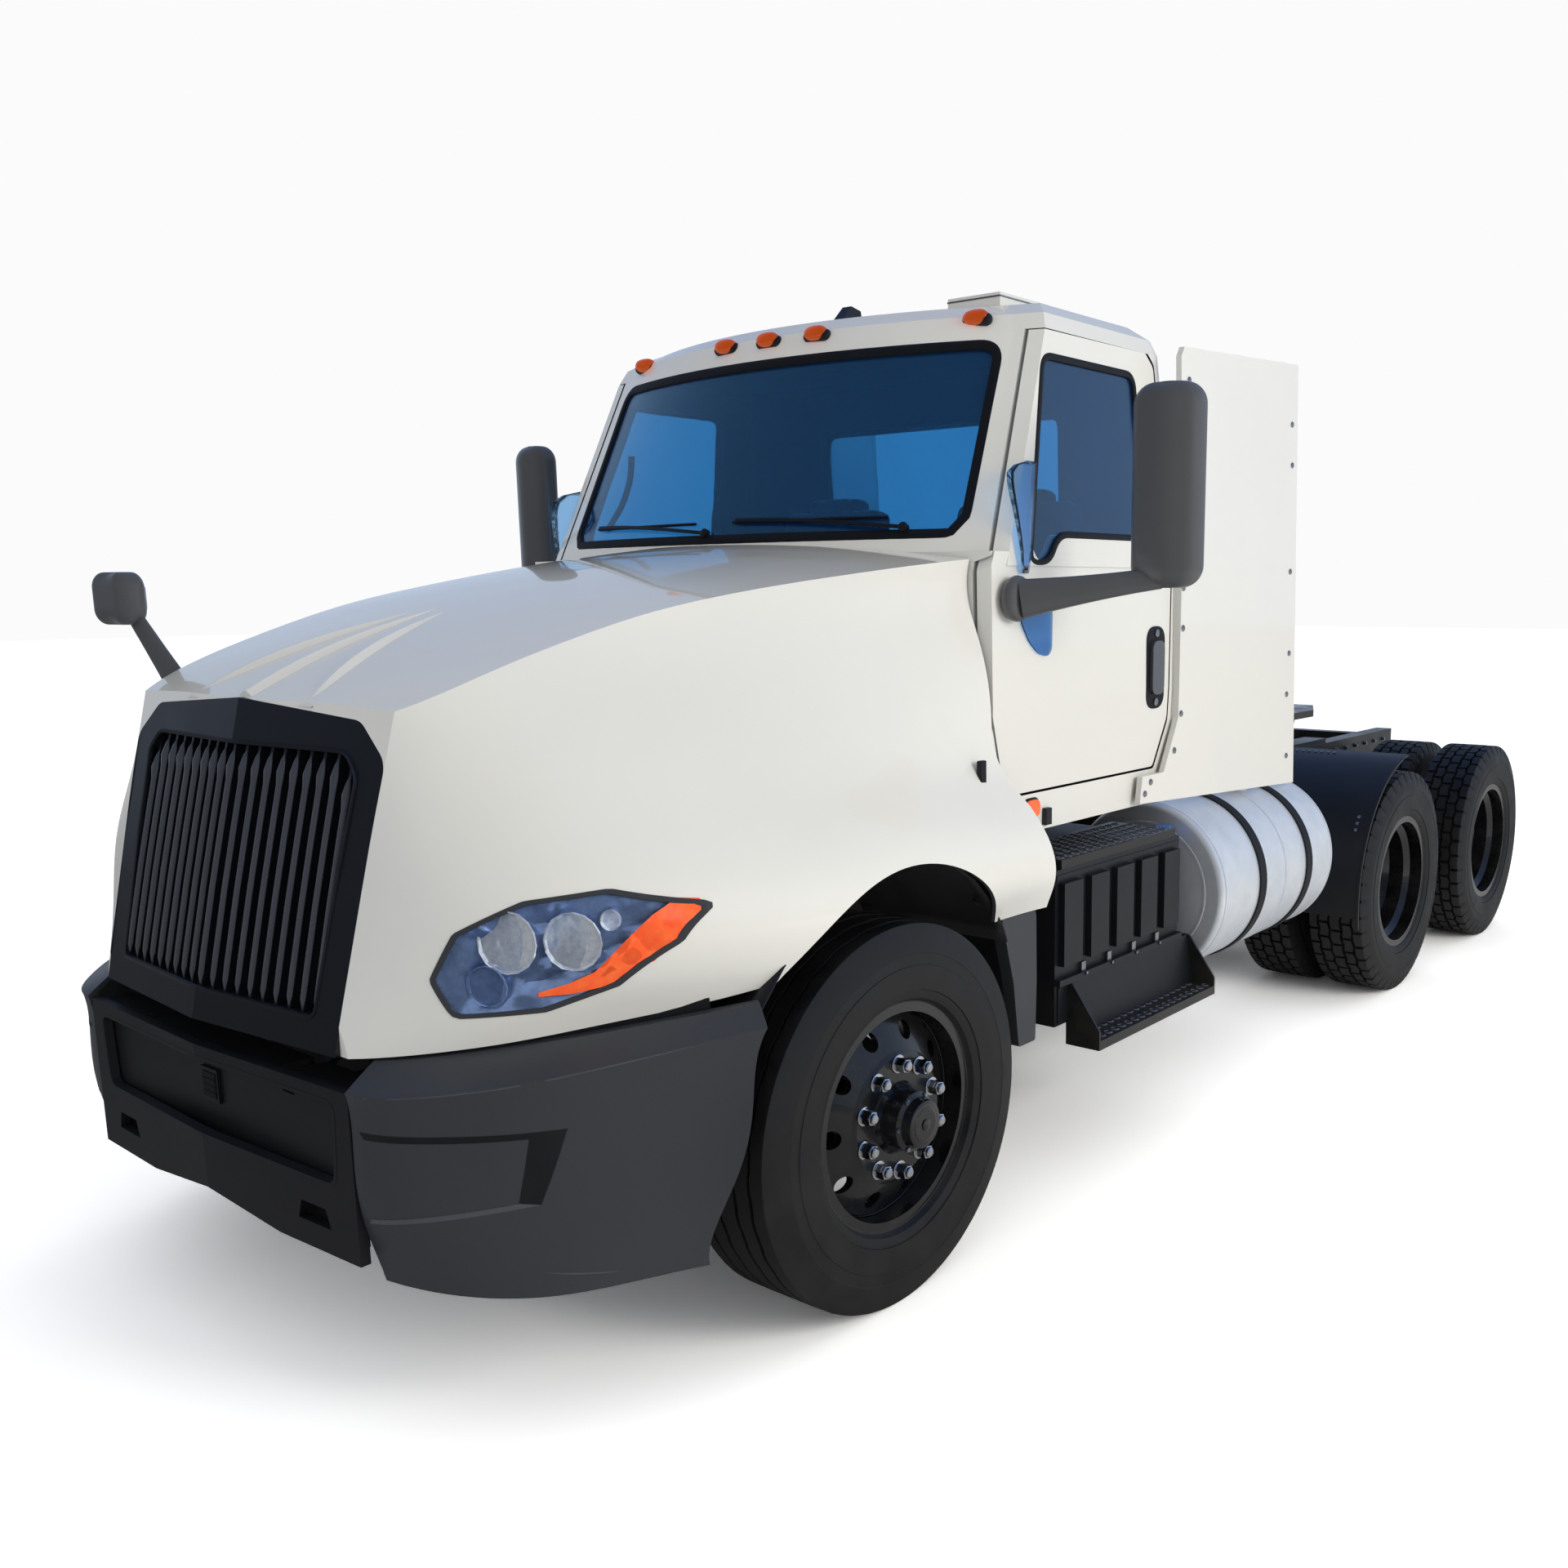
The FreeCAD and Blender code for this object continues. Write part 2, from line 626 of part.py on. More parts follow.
bumper_bottom_z = 345
bumper_rise = 0.113
bumper_crease = [(610, 22), (682, 30), (797, 98), (917, 213), (1034, 399), (1119, 557), (1200, 705)]
bumper_levels = [
    (250, [(610, 84), (760, 120), (880, 180), (985, 275), (1050, 378), (1105, 488), (1150, 566)]),
    (345, [(610, 78), (760, 112), (880, 170), (985, 265), (1050, 370), (1105, 480), (1150, 560)]),
    (460, [(610, 48), (720, 68), (845, 140), (955, 250), (1045, 390), (1115, 515), (1180, 605)]),
    (640, [(610, 30), (700, 44), (820, 118), (935, 232), (1040, 396), (1122, 545), (1198, 655)]),
    (793, bumper_crease),
    (838, [(600, 84), (690, 135), (810, 252), (930, 388), (1040, 542), (1108, 642), (1160, 722)]),
]
bumper_wall = 24
bumper_recess = [(650, 505), (950, 552), (985, 708), (652, 708)]
bumper_recess_depth = 8


def wall_section(points, z, wall):
    """Closed outline of a thin wall that follows points in plan."""
    inside = inset_points(points, wall)
    outer = smooth([(x, y, z) for x, y in points])
    inner = smooth([(x, y, z) for x, y in inside])
    first = Part.makeLine(Vector(*points[0], z), Vector(*inside[0], z))
    last = Part.makeLine(Vector(*points[-1], z), Vector(*inside[-1], z))
    return Part.Wire(Part.__sortEdges__([outer, last, inner, first]))


def make_bumper():
    """Centre piece with its wide intake, and a wrapped corner each side."""
    low_levels, top_levels = bumper_levels[:5], bumper_levels[4:]
    lower = Part.makeLoft([wall_section(points, z, bumper_wall) for z, points in low_levels], True, False)
    skin = Part.makeLoft([wall_section(points, z, bumper_recess_depth) for z, points in low_levels],
                         True, False)
    shoulder = Part.makeLoft([wall_section(points, z, bumper_wall) for z, points in top_levels], True, True)
    rising = FreeCAD.Matrix()
    rising.A32 = bumper_rise
    corner = fused([lower, shoulder]).transformGeometry(rising)
    recess = skin.transformGeometry(rising).common(front_prism(bumper_recess, (-100, 900), 24))
    corner = corner.cut([block((500, 622), (-100, 400), (200, 900)),
                         block((500, 1300), (-100, 900), (200, bumper_bottom_z)), recess])
    pieces["bumper_corners"] = both(corner)
    half = 618
    nose = plan_prism([(0, 0), (half, 28), (half, 28 + bumper_wall), (0, bumper_wall),
                       (-half, 28 + bumper_wall), (-half, 28)], (395, 790))
    chin = front_prism([(-700, 300), (-700, 350), (0, 430), (700, 350), (700, 300)], (-50, 300))
    opening = front_prism([(-550, 560), (550, 560), (565, 760), (-565, 760)], (-50, 300), 40)
    nose = nose.cut([chin, opening])
    hooks = [front_prism([(s * 390, 455), (s * 515, 455), (s * 500, 500), (s * 405, 500)], (-50, 300))
             for s in (1, -1)]
    nose = nose.cut(hooks)
    slots = [block((s * 330 - 26, s * 330 + 26), (30, 140), (725, 790)) for s in (1, -1)]
    shelf = block((-576, 576), (40, 130), (765, 783)).cut(slots)
    shelf_ends = [block((s * 590 - 16, s * 590 + 16), (40, 120), (700, 783)) for s in (1, -1)]
    back = block((-576, 576), (50, 68), (540, 770)).cut(slots)
    beam = block((-576, 576), (66, 130), (470, 600))
    horns = [block((s * 390 - 30, s * 390 + 30), (125, rail_front_y), (520, 640)) for s in (1, -1)]
    risers = [side_prism([(rail_front_y - 120, 520), (rail_front_y, 520), (rail_front_y, rail_top - 80),
                          (rail_front_y - 40, rail_top - 80)], (s * 390 - 30, s * 390 + 30))
              for s in (1, -1)]
    ends = [block((s * 590 - 15, s * 590 + 20), (40, 130), (480, 600)) for s in (1, -1)]
    pieces["bumper_centre"] = fused([nose, back, beam, shelf] + shelf_ends + horns + risers + ends)


# Hood

grille_half = {840: 550, 1000: 557, 1200: 567, 1350: 573, 1500: 578, 1700: 585, 1880: 588, 2050: 590}
hood_levels = [
    (840, 45, [(690, 132), (810, 250), (930, 385), (1040, 540),
      (1130, 690), (1195, 900), (1210, 1250), (1210, 1950)]),
    (1000, 80, [(720, 152), (865, 258), (990, 415), (1090, 590),
      (1165, 790), (1205, 1020), (1212, 1300), (1208, 1950)]),
    (1200, 128, [(730, 180), (880, 270), (1010, 420), (1095, 600),
      (1160, 850), (1192, 1120), (1190, 1450), (1150, 1950)]),
    (1350, 165, [(700, 220), (830, 330), (930, 500), (1000, 720),
      (1048, 1000), (1072, 1280), (1070, 1560), (1052, 1950)]),
    (1500, 205, [(675, 285), (770, 430), (848, 640), (910, 900),
      (962, 1180), (1003, 1480), (1030, 1720), (1040, 1950)]),
    (1700, 255, [(632, 390), (690, 590), (758, 850), (832, 1110),
      (905, 1390), (962, 1640), (990, 1780), (1005, 1950)]),
    (1880, 291, [(620, 455), (676, 660), (745, 925), (815, 1180),
      (882, 1425), (926, 1640), (951, 1790), (968, 1950)]),
    (2050, 325, [(612, 520), (664, 740), (732, 1000), (800, 1250),
      (868, 1490), (918, 1710), (936, 1820), (950, 1950)]),
]
hood_crown = [(60, 1530), (200, 1598), (350, 1668), (520, 1732), (800, 1818), (1100, 1886),
              (1400, 1938), (1750, 1986), (1960, 2004)]
crown_drop = 90
crown_half = 1100
nose_depth = 45


def hood_plan(z, grille_y, points, inset):
    """Plan outline of the hood at one height, moved inward by the inset."""
    corner = (grille_half[z], grille_y)
    side = inset_points([corner] + points, inset)
    side[0] = (corner[0] - inset, corner[1] + inset)
    left = smooth([(x, y, z) for x, y in side])
    right = smooth([(-x, y, z) for x, y in side])
    rear = Part.makeLine(Vector(*side[-1], z), Vector(-side[-1][0], side[-1][1], z))
    tip = Vector(0, grille_y - nose_depth + inset, z)
    front = [Part.makeLine(Vector(-side[0][0], side[0][1], z), tip),
             Part.makeLine(tip, Vector(*side[0], z))]
    return Part.Wire(Part.__sortEdges__(front + [left, rear, right]))


def hood_top(inset):
    """Everything under the crowned top of the hood."""
    sections = []
    for y, z in hood_crown:
        top = z - inset
        edge = top - crown_drop
        arc = Part.Arc(Vector(crown_half, y, edge), Vector(0, y, top), Vector(-crown_half, y, edge)).toShape()
        rest = [(-crown_half, edge), (-1300, edge - 60), (-1300, 300), (1300, 300), (1300, edge - 60),
                (crown_half, edge)]
        rest = [Vector(x, y, level) for x, level in rest]
        lines = [Part.makeLine(a, b) for a, b in zip(rest, rest[1:])]
        sections.append(Part.Wire(Part.__sortEdges__([arc] + lines)))
    return Part.makeLoft(sections, True, False)


@functools.lru_cache(maxsize=None)
def hood_body(inset):
    """Hood as a full block, moved inward by the inset."""
    plan = Part.makeLoft([hood_plan(z, y, points, inset) for z, y, points in hood_levels], True, False)
    return plan.common(hood_top(inset))


def hood_outline():
    """Side outline of the hood with the wheel arch cut out."""
    sheet = side_prism([(-60, 852), (60, 852), (front_axle_y - 405, 944), (front_axle_y - 200, 900),
                        (front_axle_y + 400, 880), (front_axle_y + 450, 928), (1890, 928), (1850, 1225),
                        (1815, 1300), (hood_rear_y, 1400), (hood_rear_y, 2200), (-60, 2200)], (-1300, 1300))
    arch = rod((-1300, front_axle_y + 25, arch_drop), (1300, front_axle_y + 25, arch_drop), arch_radius)
    below = side_prism([(front_axle_y - 403, 943), (front_axle_y + 451, 929), (front_axle_y + 451, 600),
                        (front_axle_y - 403, 600)], (-1300, 1300))
    return sheet.cut([arch, below])


def cowl_cut():
    """Room ahead of the bowed windscreen."""
    left = Vector(1000, hood_rear_y + 17, 1500)
    right = Vector(-1000, hood_rear_y + 17, 1500)
    corners = [left, Vector(1000, 2100, 1500), Vector(-1000, 2100, 1500), right]
    edge = [Part.Arc(right, Vector(0, hood_rear_y - 108, 1500), left).toShape()]
    edge += [Part.makeLine(a, b) for a, b in zip(corners, corners[1:])]
    return Part.Face(Part.Wire(Part.__sortEdges__(edge))).extrude(Vector(0, 0, 800))


grille_outline = [(-548, 852), (548, 852), (577, 1478), (470, 1562), (0, 1596), (-470, 1562), (-577, 1478)]
grille_corners = [0, 0, 55, 70, 0, 70, 55]
grille_opening = [(-452, 925), (452, 925), (482, 1440), (430, 1490), (-430, 1490), (-482, 1440)]
grille_bar_count = 19
grille_bar_width = 11


def nose_slab(low, high):
    """Leaning slab behind the V-shaped nose between two depths."""
    sections = []
    half = 600
    for z, y in ((840, 45), (1200, 128), (1640, 240)):
        tip = y - nose_depth
        outline = [(-half, y + low + 3), (0, tip + low), (half, y + low + 3), (half, y + high),
                   (0, tip + high), (-half, y + high), (-half, y + low + 3)]
        sections.append(Part.makePolygon([Vector(x, depth, z) for x, depth in outline]))
    return Part.makeLoft(sections, True, True)


# Each ridge as depth, crown height, distance from the centre plane, half width and rise
middle_ridge = [(200, 1598, 0, 44, 13), (350, 1668, 0, 38, 16), (520, 1732, 0, 30, 12), (800, 1818, 0, 18, -5)]
side_ridge = [(200, 1598, 262, 30, -5), (350, 1668, 196, 36, 14), (520, 1732, 128, 32, 12),
              (800, 1818, 44, 18, -5)]


def make_hood():
    """Hood skin, grille, headlamps, hood mirror and the dark fender ends."""
    skin = hood_body(0).cut(hood_body(hood_thickness)).common(hood_outline()).cut(cowl_cut())
    ridge = hood_ridge(side_ridge)
    skin = fused([skin, hood_ridge(middle_ridge), ridge, mirrored(ridge)])
    around = [(x + math.copysign(seat_gap, x) if x else 0, z + seat_gap) for x, z in grille_outline]
    window = front_prism(around, (-200, 420), grille_corners)
    below = block((-548 - seat_gap, 548 + seat_gap), (-100, 420), (800, 900))
    skin = skin.cut([window, below])
    lamp = lamp_prism(0)
    pieces["hood_shell"] = skin.cut([lamp, mirrored(lamp)])
    face = front_prism(grille_outline, (-200, 400), grille_corners)
    frame = nose_slab(0, 55).common(face)
    opening = front_prism(grille_opening, (-200, 400), [20, 20, 25, 25, 25, 25])
    frame = frame.cut(opening)
    bars = []
    pitch = 900 / (grille_bar_count - 1)
    half = grille_bar_width / 2
    for index in range(grille_bar_count):
        x = -450 + pitch * index
        bars.append(block((x - half, x + half), (-200, 400), (900, 1500)))
    bars = Part.makeCompound(bars).common(nose_slab(10, 52)).common(front_prism(grille_outline, (-200, 400)))
    necks = [hood_neck(s * 330) for s in (1, -1)]
    pieces["grille"] = fused([frame] + bars.Solids + necks)
    lens = hood_body(1).cut(hood_body(40)).common(lamp_prism(seat_gap))
    pieces["headlamps"] = both(lens)
    pieces["fender_ends"] = both(side_prism([(1690, 1000), (1850, 1000), (1888, 900), (1892, 700),
                                             (1886, 520), (1800, 520), (1772, 720)], (1096, 1136), 8))
    head = cushioned([(-1150, 345), (-970, 350), (-955, 425), (-1140, 445)], (1750, 1900), 30, 40)
    stem = taper((-842, 440, 1590), (-1010, 405, 1790), 26, 17)
    foot = taper((-815, 445, 1545), (-848, 439, 1618), 44, 27).cut(hood_body(-seat_gap))
    pieces["hood_mirror"] = fused([stem, head, foot])


def hood_ridge(stations):
    """Raised ridge that fades into the hood's nose, its foot inside the skin."""
    sections = []
    for y, crown, x, half, rise in stations:
        z = crown - crown_drop * (x / crown_half) ** 2
        outline = [(x - half, z - 8), (x - 6, z + rise), (x + 6, z + rise), (x + half, z - 8), (x - half, z - 8)]
        sections.append(Part.makePolygon([Vector(px, y, pz) for px, pz in outline]))
    return Part.makeLoft(sections, True, False)


def hood_neck(x):
    """Curved arm from the hood's pivot to the grille's lower edge."""
    width = 15
    pivot_y, pivot_z = hood_pivot_y, hood_pivot_z

    def point(radius, degrees):
        angle = math.radians(degrees)
        return Vector(x - width, pivot_y + radius * math.sin(angle), pivot_z + radius * math.cos(angle))

    low, high = 144, 172
    start, end = -16, 58
    outer = Part.Arc(point(high, start), point(high, (start + end) / 2), point(high, end)).toShape()
    inner = Part.Arc(point(low, start), point(low, (start + end) / 2), point(low, end)).toShape()
    arc = Part.Wire(Part.__sortEdges__([outer, Part.makeLine(point(high, end), point(low, end)), inner,
                                        Part.makeLine(point(low, start), point(high, start))]))
    band = Part.Face(arc).extrude(Vector(2 * width, 0, 0))
    inside, tip = point(low + 6, end - 12), point(high, end)
    leg = side_prism([(pivot_y + 14, pivot_z - 14), (pivot_y - 8, pivot_z + 14), (inside.y, inside.z),
                      (tip.y, tip.z)], (x - width, x + width))
    hub = rod((x - width, pivot_y, pivot_z), (x + width, pivot_y, pivot_z), 26)
    bore = rod((x - 99, pivot_y, pivot_z), (x + 99, pivot_y, pivot_z), 12 + seat_gap)
    return fused([band, leg, hub]).cut(bore)


lamp_outline = [(742, 1030), (790, 1130), (905, 1198), (1010, 1214), (1125, 1165), (1100, 1090), (1010, 1000),
                (905, 950), (775, 945)]


def lamp_prism(inset):
    """Lens outline seen from the front, taken through the fender."""
    centre = (940, 1085)
    shape = []
    for x, z in lamp_outline:
        length = math.hypot(x - centre[0], z - centre[1])
        shape.append((x - inset * (x - centre[0]) / length, z - inset * (z - centre[1]) / length))
    return front_prism(shape, (0, 900), 18)


# Cab

def cab_outline(z, half, front_half, front_y, bow, rear_y, inset, corner=60):
    """Plan outline of the cab at one height."""
    side = half - inset
    nose = front_half - inset
    rear = rear_y - inset
    front = front_y + inset
    back = front + (12 if front_y == cab_front_y else 30)
    points = [Vector(nose, front, z), Vector(side, back, z), Vector(side, rear - corner, z),
              Vector(side - corner, rear, z)]
    other = [Vector(-point.x, point.y, z) for point in points]
    turn = Vector(side - corner * 0.29, rear - corner * 0.29, z)
    other_turn = Vector(-turn.x, turn.y, z)
    edges = [Part.Arc(other[0], Vector(0, front - bow, z), points[0]).toShape(),
             Part.makeLine(points[0], points[1]), Part.makeLine(points[1], points[2]),
             Part.Arc(points[2], turn, points[3]).toShape(), Part.makeLine(points[3], other[3]),
             Part.Arc(other[3], other_turn, other[2]).toShape(),
             Part.makeLine(other[2], other[1]), Part.makeLine(other[1], other[0])]
    return Part.Wire(edges)


def greenhouse(inset):
    """The cab between the base and the header of its windscreen."""
    return Part.makeLoft([
        cab_outline(cowl_z - 40, cab_half_width - 2, 940, screen_base_y, screen_base_bow, cab_rear_y, inset),
        cab_outline(header_z, header_half_width, 862, header_front_y, header_bow, cab_rear_y - 25, inset)],
        True, True)


@functools.lru_cache(maxsize=None)
def cab_body(inset, floor=0):
    """Cab as a full block, moved inward by the inset."""
    low = cab_sill_z + floor
    lower = Part.makeLoft([
        cab_outline(low, cab_half_width - 12, 930, cab_front_y, cowl_bow, cab_rear_y, inset),
        cab_outline(1500, cab_half_width, 930, cab_front_y, cowl_bow, cab_rear_y, inset),
        cab_outline(cowl_z, cab_half_width - 6, 930, cab_front_y, cowl_bow, cab_rear_y, inset)], True, True)
    upper = greenhouse(inset)
    roof = []
    for z, narrower, front_half, front, bow, rear in (
            (header_z - 0.5, 0, 862, 0, header_bow, 25),
            (header_z + 50 - inset * 0.5, 22, 842, 25, header_bow, 38),
            (header_z + 92 - inset, 80, 780, 90, header_bow, 80),
            (roof_z - inset, 220, 640, 200, header_bow - 20, 170)):
        roof.append(cab_outline(z, header_half_width - narrower, front_half, header_front_y + front, bow,
                                cab_rear_y - rear, inset))
    roof = Part.makeLoft(roof, True, True)
    return fused([lower, upper, roof])


door_outline = [(1872, door_bottom_z), (1872, 1300), (door_front_y, 1500), (door_front_y, 1890), (2100, 2596),
                (2790, 2600), (2835, 2560), (door_rear_y, 1840), (2855, 1400), (2770, door_bottom_z)]
door_window = [(2010, 1915), (2165, 2520), (2700, 2520), (2700, 2000), (2180, 2000), (2110, 1915)]


def grown(points, distance):
    """Outline in (y, z) moved outward from its middle by about the distance."""
    mid_y = sum(y for y, z in points) / len(points)
    mid_z = sum(z for y, z in points) / len(points)
    return [(y + distance * math.copysign(1, y - mid_y), z + distance * math.copysign(1, z - mid_z))
            for y, z in points]


def side_x(z):
    """Distance of the cab's outer side from the centre plane at one height."""
    levels = [(cab_sill_z, cab_half_width - 12), (1500, cab_half_width), (cowl_z, cab_half_width - 6),
              (header_z, header_half_width)]
    for (low, x_low), (high, x_high) in zip(levels, levels[1:]):
        if z <= high:
            return x_low + (x_high - x_low) * (z - low) / (high - low)
    return header_half_width


def side_layer(near, far):
    """Layer of the cab's left side between two depths from its outer face."""
    heights = (cab_sill_z, 1500, cowl_z, header_z)
    outline = [(side_x(z) - near, z) for z in heights]
    outline += [(side_x(z) - far, z) for z in reversed(heights)]
    return front_prism(outline, (cab_front_y - 100, cab_rear_y))


door_corners = [20, 10, 20, 20, 60, 20, 30, 60, 60, 20]


def make_cab():
    """Hollow cab with its windows and door openings cut, glass, inside and fittings."""
    outer = cab_body(0)
    inner = cab_body(cab_wall, cab_floor_z - cab_sill_z)
    shell = outer.cut(inner)
    opening = side_prism(grown(door_outline, door_gap), (700, 1200), door_corners)
    opening = opening.common(side_layer(-100, cab_wall + 6))
    doors = side_prism(door_outline, (700, 1200), door_corners)
    doors = outer.common(side_layer(-50, cab_wall - 8)).common(doors)
    window = side_prism(door_window, (700, 1200), [60, 50, 50, 50, 60, 40])
    screen = front_prism([(-880, 1990), (880, 1990), (838, 2565), (-838, 2565)], (1400, 2330), 70)
    rear = front_prism([(-560, 2000), (560, 2000), (560, 2450), (-560, 2450)], (2700, 3100), 60)
    shell = shell.cut([opening, mirrored(opening), screen, rear])
    pieces["cab_shell"] = shell
    panel = doors.cut(window)
    glass_skin = greenhouse(glass_inset).cut(greenhouse(glass_inset + glass_thickness))
    pane = side_layer(glass_inset, glass_inset + glass_thickness)
    pane_outline = [(y, z + 1 if z < 2100 else z) for y, z in grown(door_window, -seat_gap)]
    pane = pane.common(side_prism(pane_outline, (700, 1200), [60, 50, 50, 50, 60, 40]))
    pieces["door_panel_left"] = panel
    pieces["door_panel_right"] = mirrored(panel)
    pieces["door_glass_left"] = pane
    pieces["door_glass_right"] = mirrored(pane)
    pieces["windscreen"] = glass_skin.common(screen)
    pieces["rear_window"] = glass_skin.common(rear)
    mirror = door_mirror()
    pieces["door_mirror_left"] = mirror
    pieces["door_mirror_right"] = mirrored(mirror)
    make_cab_inside()
    make_cab_outside()


def door_mirror():
    """Upright mirror head on an arm from the door's front edge."""
    root = taper((cab_half_width + seat_gap - 2, 1900, 1815), (1080, 1900, 1815), 50, 38)
    root = root.cut(cab_body(-seat_gap))
    arm = taper((1060, 1900, 1815), (1405, 2105, 1868), 36, 25)
    head = cushioned([(1300, 2165), (1508, 2188), (1506, 2108), (1420, 2060), (1310, 2080)], (1840, 2400),
                     24, 58)
    return fused([root, arm, head])


wheel_centre = (430, 2265, 1790)
wheel_tilt = 38
steering_wheel_radius = 215


def make_cab_inside():
    """Dashboard, seats and steering wheel, seen through the glass."""
    dash = side_prism([(1720, 1500), (1720, 1885), (1930, 1925), (2040, 1930), (2110, 1860), (2130, 1700),
                       (2060, 1500)], (-905, 905), [0, 0, 30, 30, 30, 30, 30])
    dash = dash.common(cab_body(cab_wall + seat_gap, cab_floor_z - cab_sill_z))
    angle = math.radians(wheel_tilt)
    centre = Vector(*wheel_centre)
    axis = Vector(0, math.cos(angle), math.sin(angle))
    column = rod(centre - axis * 33.3, centre - axis * 240, 42)
    pieces["dashboard"] = fused([dash, column])
    rim = Part.makeTorus(steering_wheel_radius, 14, centre, axis)
    boss = rod(centre - axis * 33, centre + axis * 12, 62)
    spokes = []
    for degrees in (0, 180, 270):
        along = math.cos(math.radians(degrees))
        up = math.sin(math.radians(degrees))
        direction = Vector(along, -math.sin(angle) * up, math.cos(angle) * up)
        spokes.append(rod(centre, centre + direction * (steering_wheel_radius - 4), 13))
    pieces["steering_wheel"] = fused([rim, boss] + spokes)
    seats = []
    for x in (430, -430):
        cushion = block((x - 250, x + 250), (2400, 2800), (1430, 1550))
        back = side_prism([(2710, 1540), (2830, 1540), (2868, 2150), (2790, 2150)], (x - 240, x + 240), 30)
        base = block((x - 200, x + 200), (2450, 2760), (cab_floor_z + seat_gap, 1432))
        seats.append(fused([cushion, back, base]))
    pieces["seats"] = Part.makeCompound(seats)


extender_x = (1036, 1056)


def make_cab_outside():
    """Side extenders behind the doors, marker lamps and roof fittings."""
    panel = side_prism([(2630, 1129), (2645, 1218), (2792, 1220), (door_rear_y + 20, 1400),
                        (door_rear_y + 22, 1840), (2852, 2590), (2872, 2622), (3784, 2670), (3880, 1064)],
                       extender_x)
    seat = block((cab_half_width + seat_gap - 20, extender_x[0] + 1), (2890, 2925), (1150, 2500))
    brace = block((900, extender_x[0] + 1), (cab_rear_y + 10, cab_rear_y + 35), (1400, 2500))
    foot = block((900, 940), (cab_rear_y + seat_gap, cab_rear_y + 36), (1400, 2400))
    pieces["cab_extenders"] = both(fused([panel, seat.cut(cab_body(-seat_gap)), brace, foot]))
    lamps = []
    for x, y, z in ((0, 2006, 2640), (203, 2014, 2640), (-203, 2014, 2640), (742, 2135, 2644),
                    (-742, 2135, 2644)):
        lamps.append(rod((x - 45, y, z), (x + 45, y, z), 24).cut(cab_body(-seat_gap)))
    pieces["marker_lamps"] = Part.makeCompound(lamps)
    box = block((550, 750), (2250, 2520), (2640, 2736)).cut(cab_body(-seat_gap))
    fin = side_prism([(2290, 2690), (2470, 2690), (2450, 2790), (2400, 2800)], (-20, 20))
    pieces["roof_fittings"] = Part.makeCompound([box, fin.cut(cab_body(-seat_gap))])
    mounts = []
    for s in (1, -1):
        low, high = sorted((s * (rail_half_width - 80), s * (rail_half_width + 60)))
        mounts.append(block((low, high), (1960, 2040), (rail_top + seat_gap, cab_sill_z - seat_gap)))
        mounts.append(block((low, high), (2830, 2910), (rail_top + seat_gap, cab_sill_z - seat_gap)))
    pieces["cab_mounts"] = Part.makeCompound(mounts)
    pieces["hood_hinges"] = both(hood_hinge(330))


def hood_hinge(x):
    """Pin and fork that the hood tilts on."""
    low, high = x - 34, x + 29.7
    pin = rod((low, hood_pivot_y, hood_pivot_z), (high, hood_pivot_y, hood_pivot_z), 12)
    arm_y = (hood_pivot_y - 16, rail_front_y - 30)
    arm_z = (hood_pivot_z - 20, hood_pivot_z + 16)
    plate = block((low, high), (rail_front_y - 62, rail_front_y - seat_gap), (hood_pivot_z - 20, rail_top - 100))
    return fused([pin, block((low, x - 18), arm_y, arm_z), block((x + 18, high), arm_y, arm_z), plate])


def write_parts():
    """Move each piece to the middle of the length and write it."""
    for name, shape in pieces.items():
        placed = moved(shape, 0, -overall_length / 2, 0)
        placed.exportStep("parts/" + name + ".step")
        solids = placed.Solids
        print(name, len(solids), "valid" if placed.isValid() else "INVALID",
              round(sum(solid.Volume for solid in solids) / 1e6, 2))


make_frame()
make_engine()
make_front_axle()
make_steering()
make_drive_axles()
make_rear_suspension()
make_tanks()
make_side_boxes()
make_rear_deck()
make_fifth_wheel()
make_bumper()
make_hood()
make_cab()
make_wheels()
write_parts()
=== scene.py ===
"""Road tractor with a day cab: finishes, fine pieces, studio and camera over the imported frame."""

import logging
from dataclasses import dataclass, replace
from enum import Enum
from math import ceil, copysign, cos, exp, hypot, pi, radians, sin

import bpy
from bpy.types import Material, Node, NodeSocket, Object, World
from mathutils import Matrix, Vector

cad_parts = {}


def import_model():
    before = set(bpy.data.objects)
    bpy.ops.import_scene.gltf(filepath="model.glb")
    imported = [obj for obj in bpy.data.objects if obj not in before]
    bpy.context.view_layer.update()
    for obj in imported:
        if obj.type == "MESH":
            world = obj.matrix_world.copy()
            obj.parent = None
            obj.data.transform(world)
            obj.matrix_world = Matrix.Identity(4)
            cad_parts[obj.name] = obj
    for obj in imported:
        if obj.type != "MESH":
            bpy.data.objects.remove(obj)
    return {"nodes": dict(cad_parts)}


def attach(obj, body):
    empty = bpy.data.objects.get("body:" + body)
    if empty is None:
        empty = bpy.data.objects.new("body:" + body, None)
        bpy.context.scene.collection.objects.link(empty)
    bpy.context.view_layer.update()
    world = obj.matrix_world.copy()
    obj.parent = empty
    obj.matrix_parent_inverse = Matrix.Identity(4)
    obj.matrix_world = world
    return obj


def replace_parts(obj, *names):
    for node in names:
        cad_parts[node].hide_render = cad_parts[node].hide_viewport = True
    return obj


Pairs = list[tuple[float, float]]

log = logging.getLogger("tractor")

MM = 0.001
NOSE_TO_MIDDLE = 3360.0

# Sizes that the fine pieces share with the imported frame, in millimetres behind the bumper's nose
AXLE_HEIGHT = 505.5
FRONT_AXLE = 1190.0
DRIVE_AXLES = {"front": 4855.0, "rear": 6165.0}
STEER_MIDDLE = 1060.0
DUAL_MIDDLES = (1065.5, 722.5)
SIDES = ("left", "right")

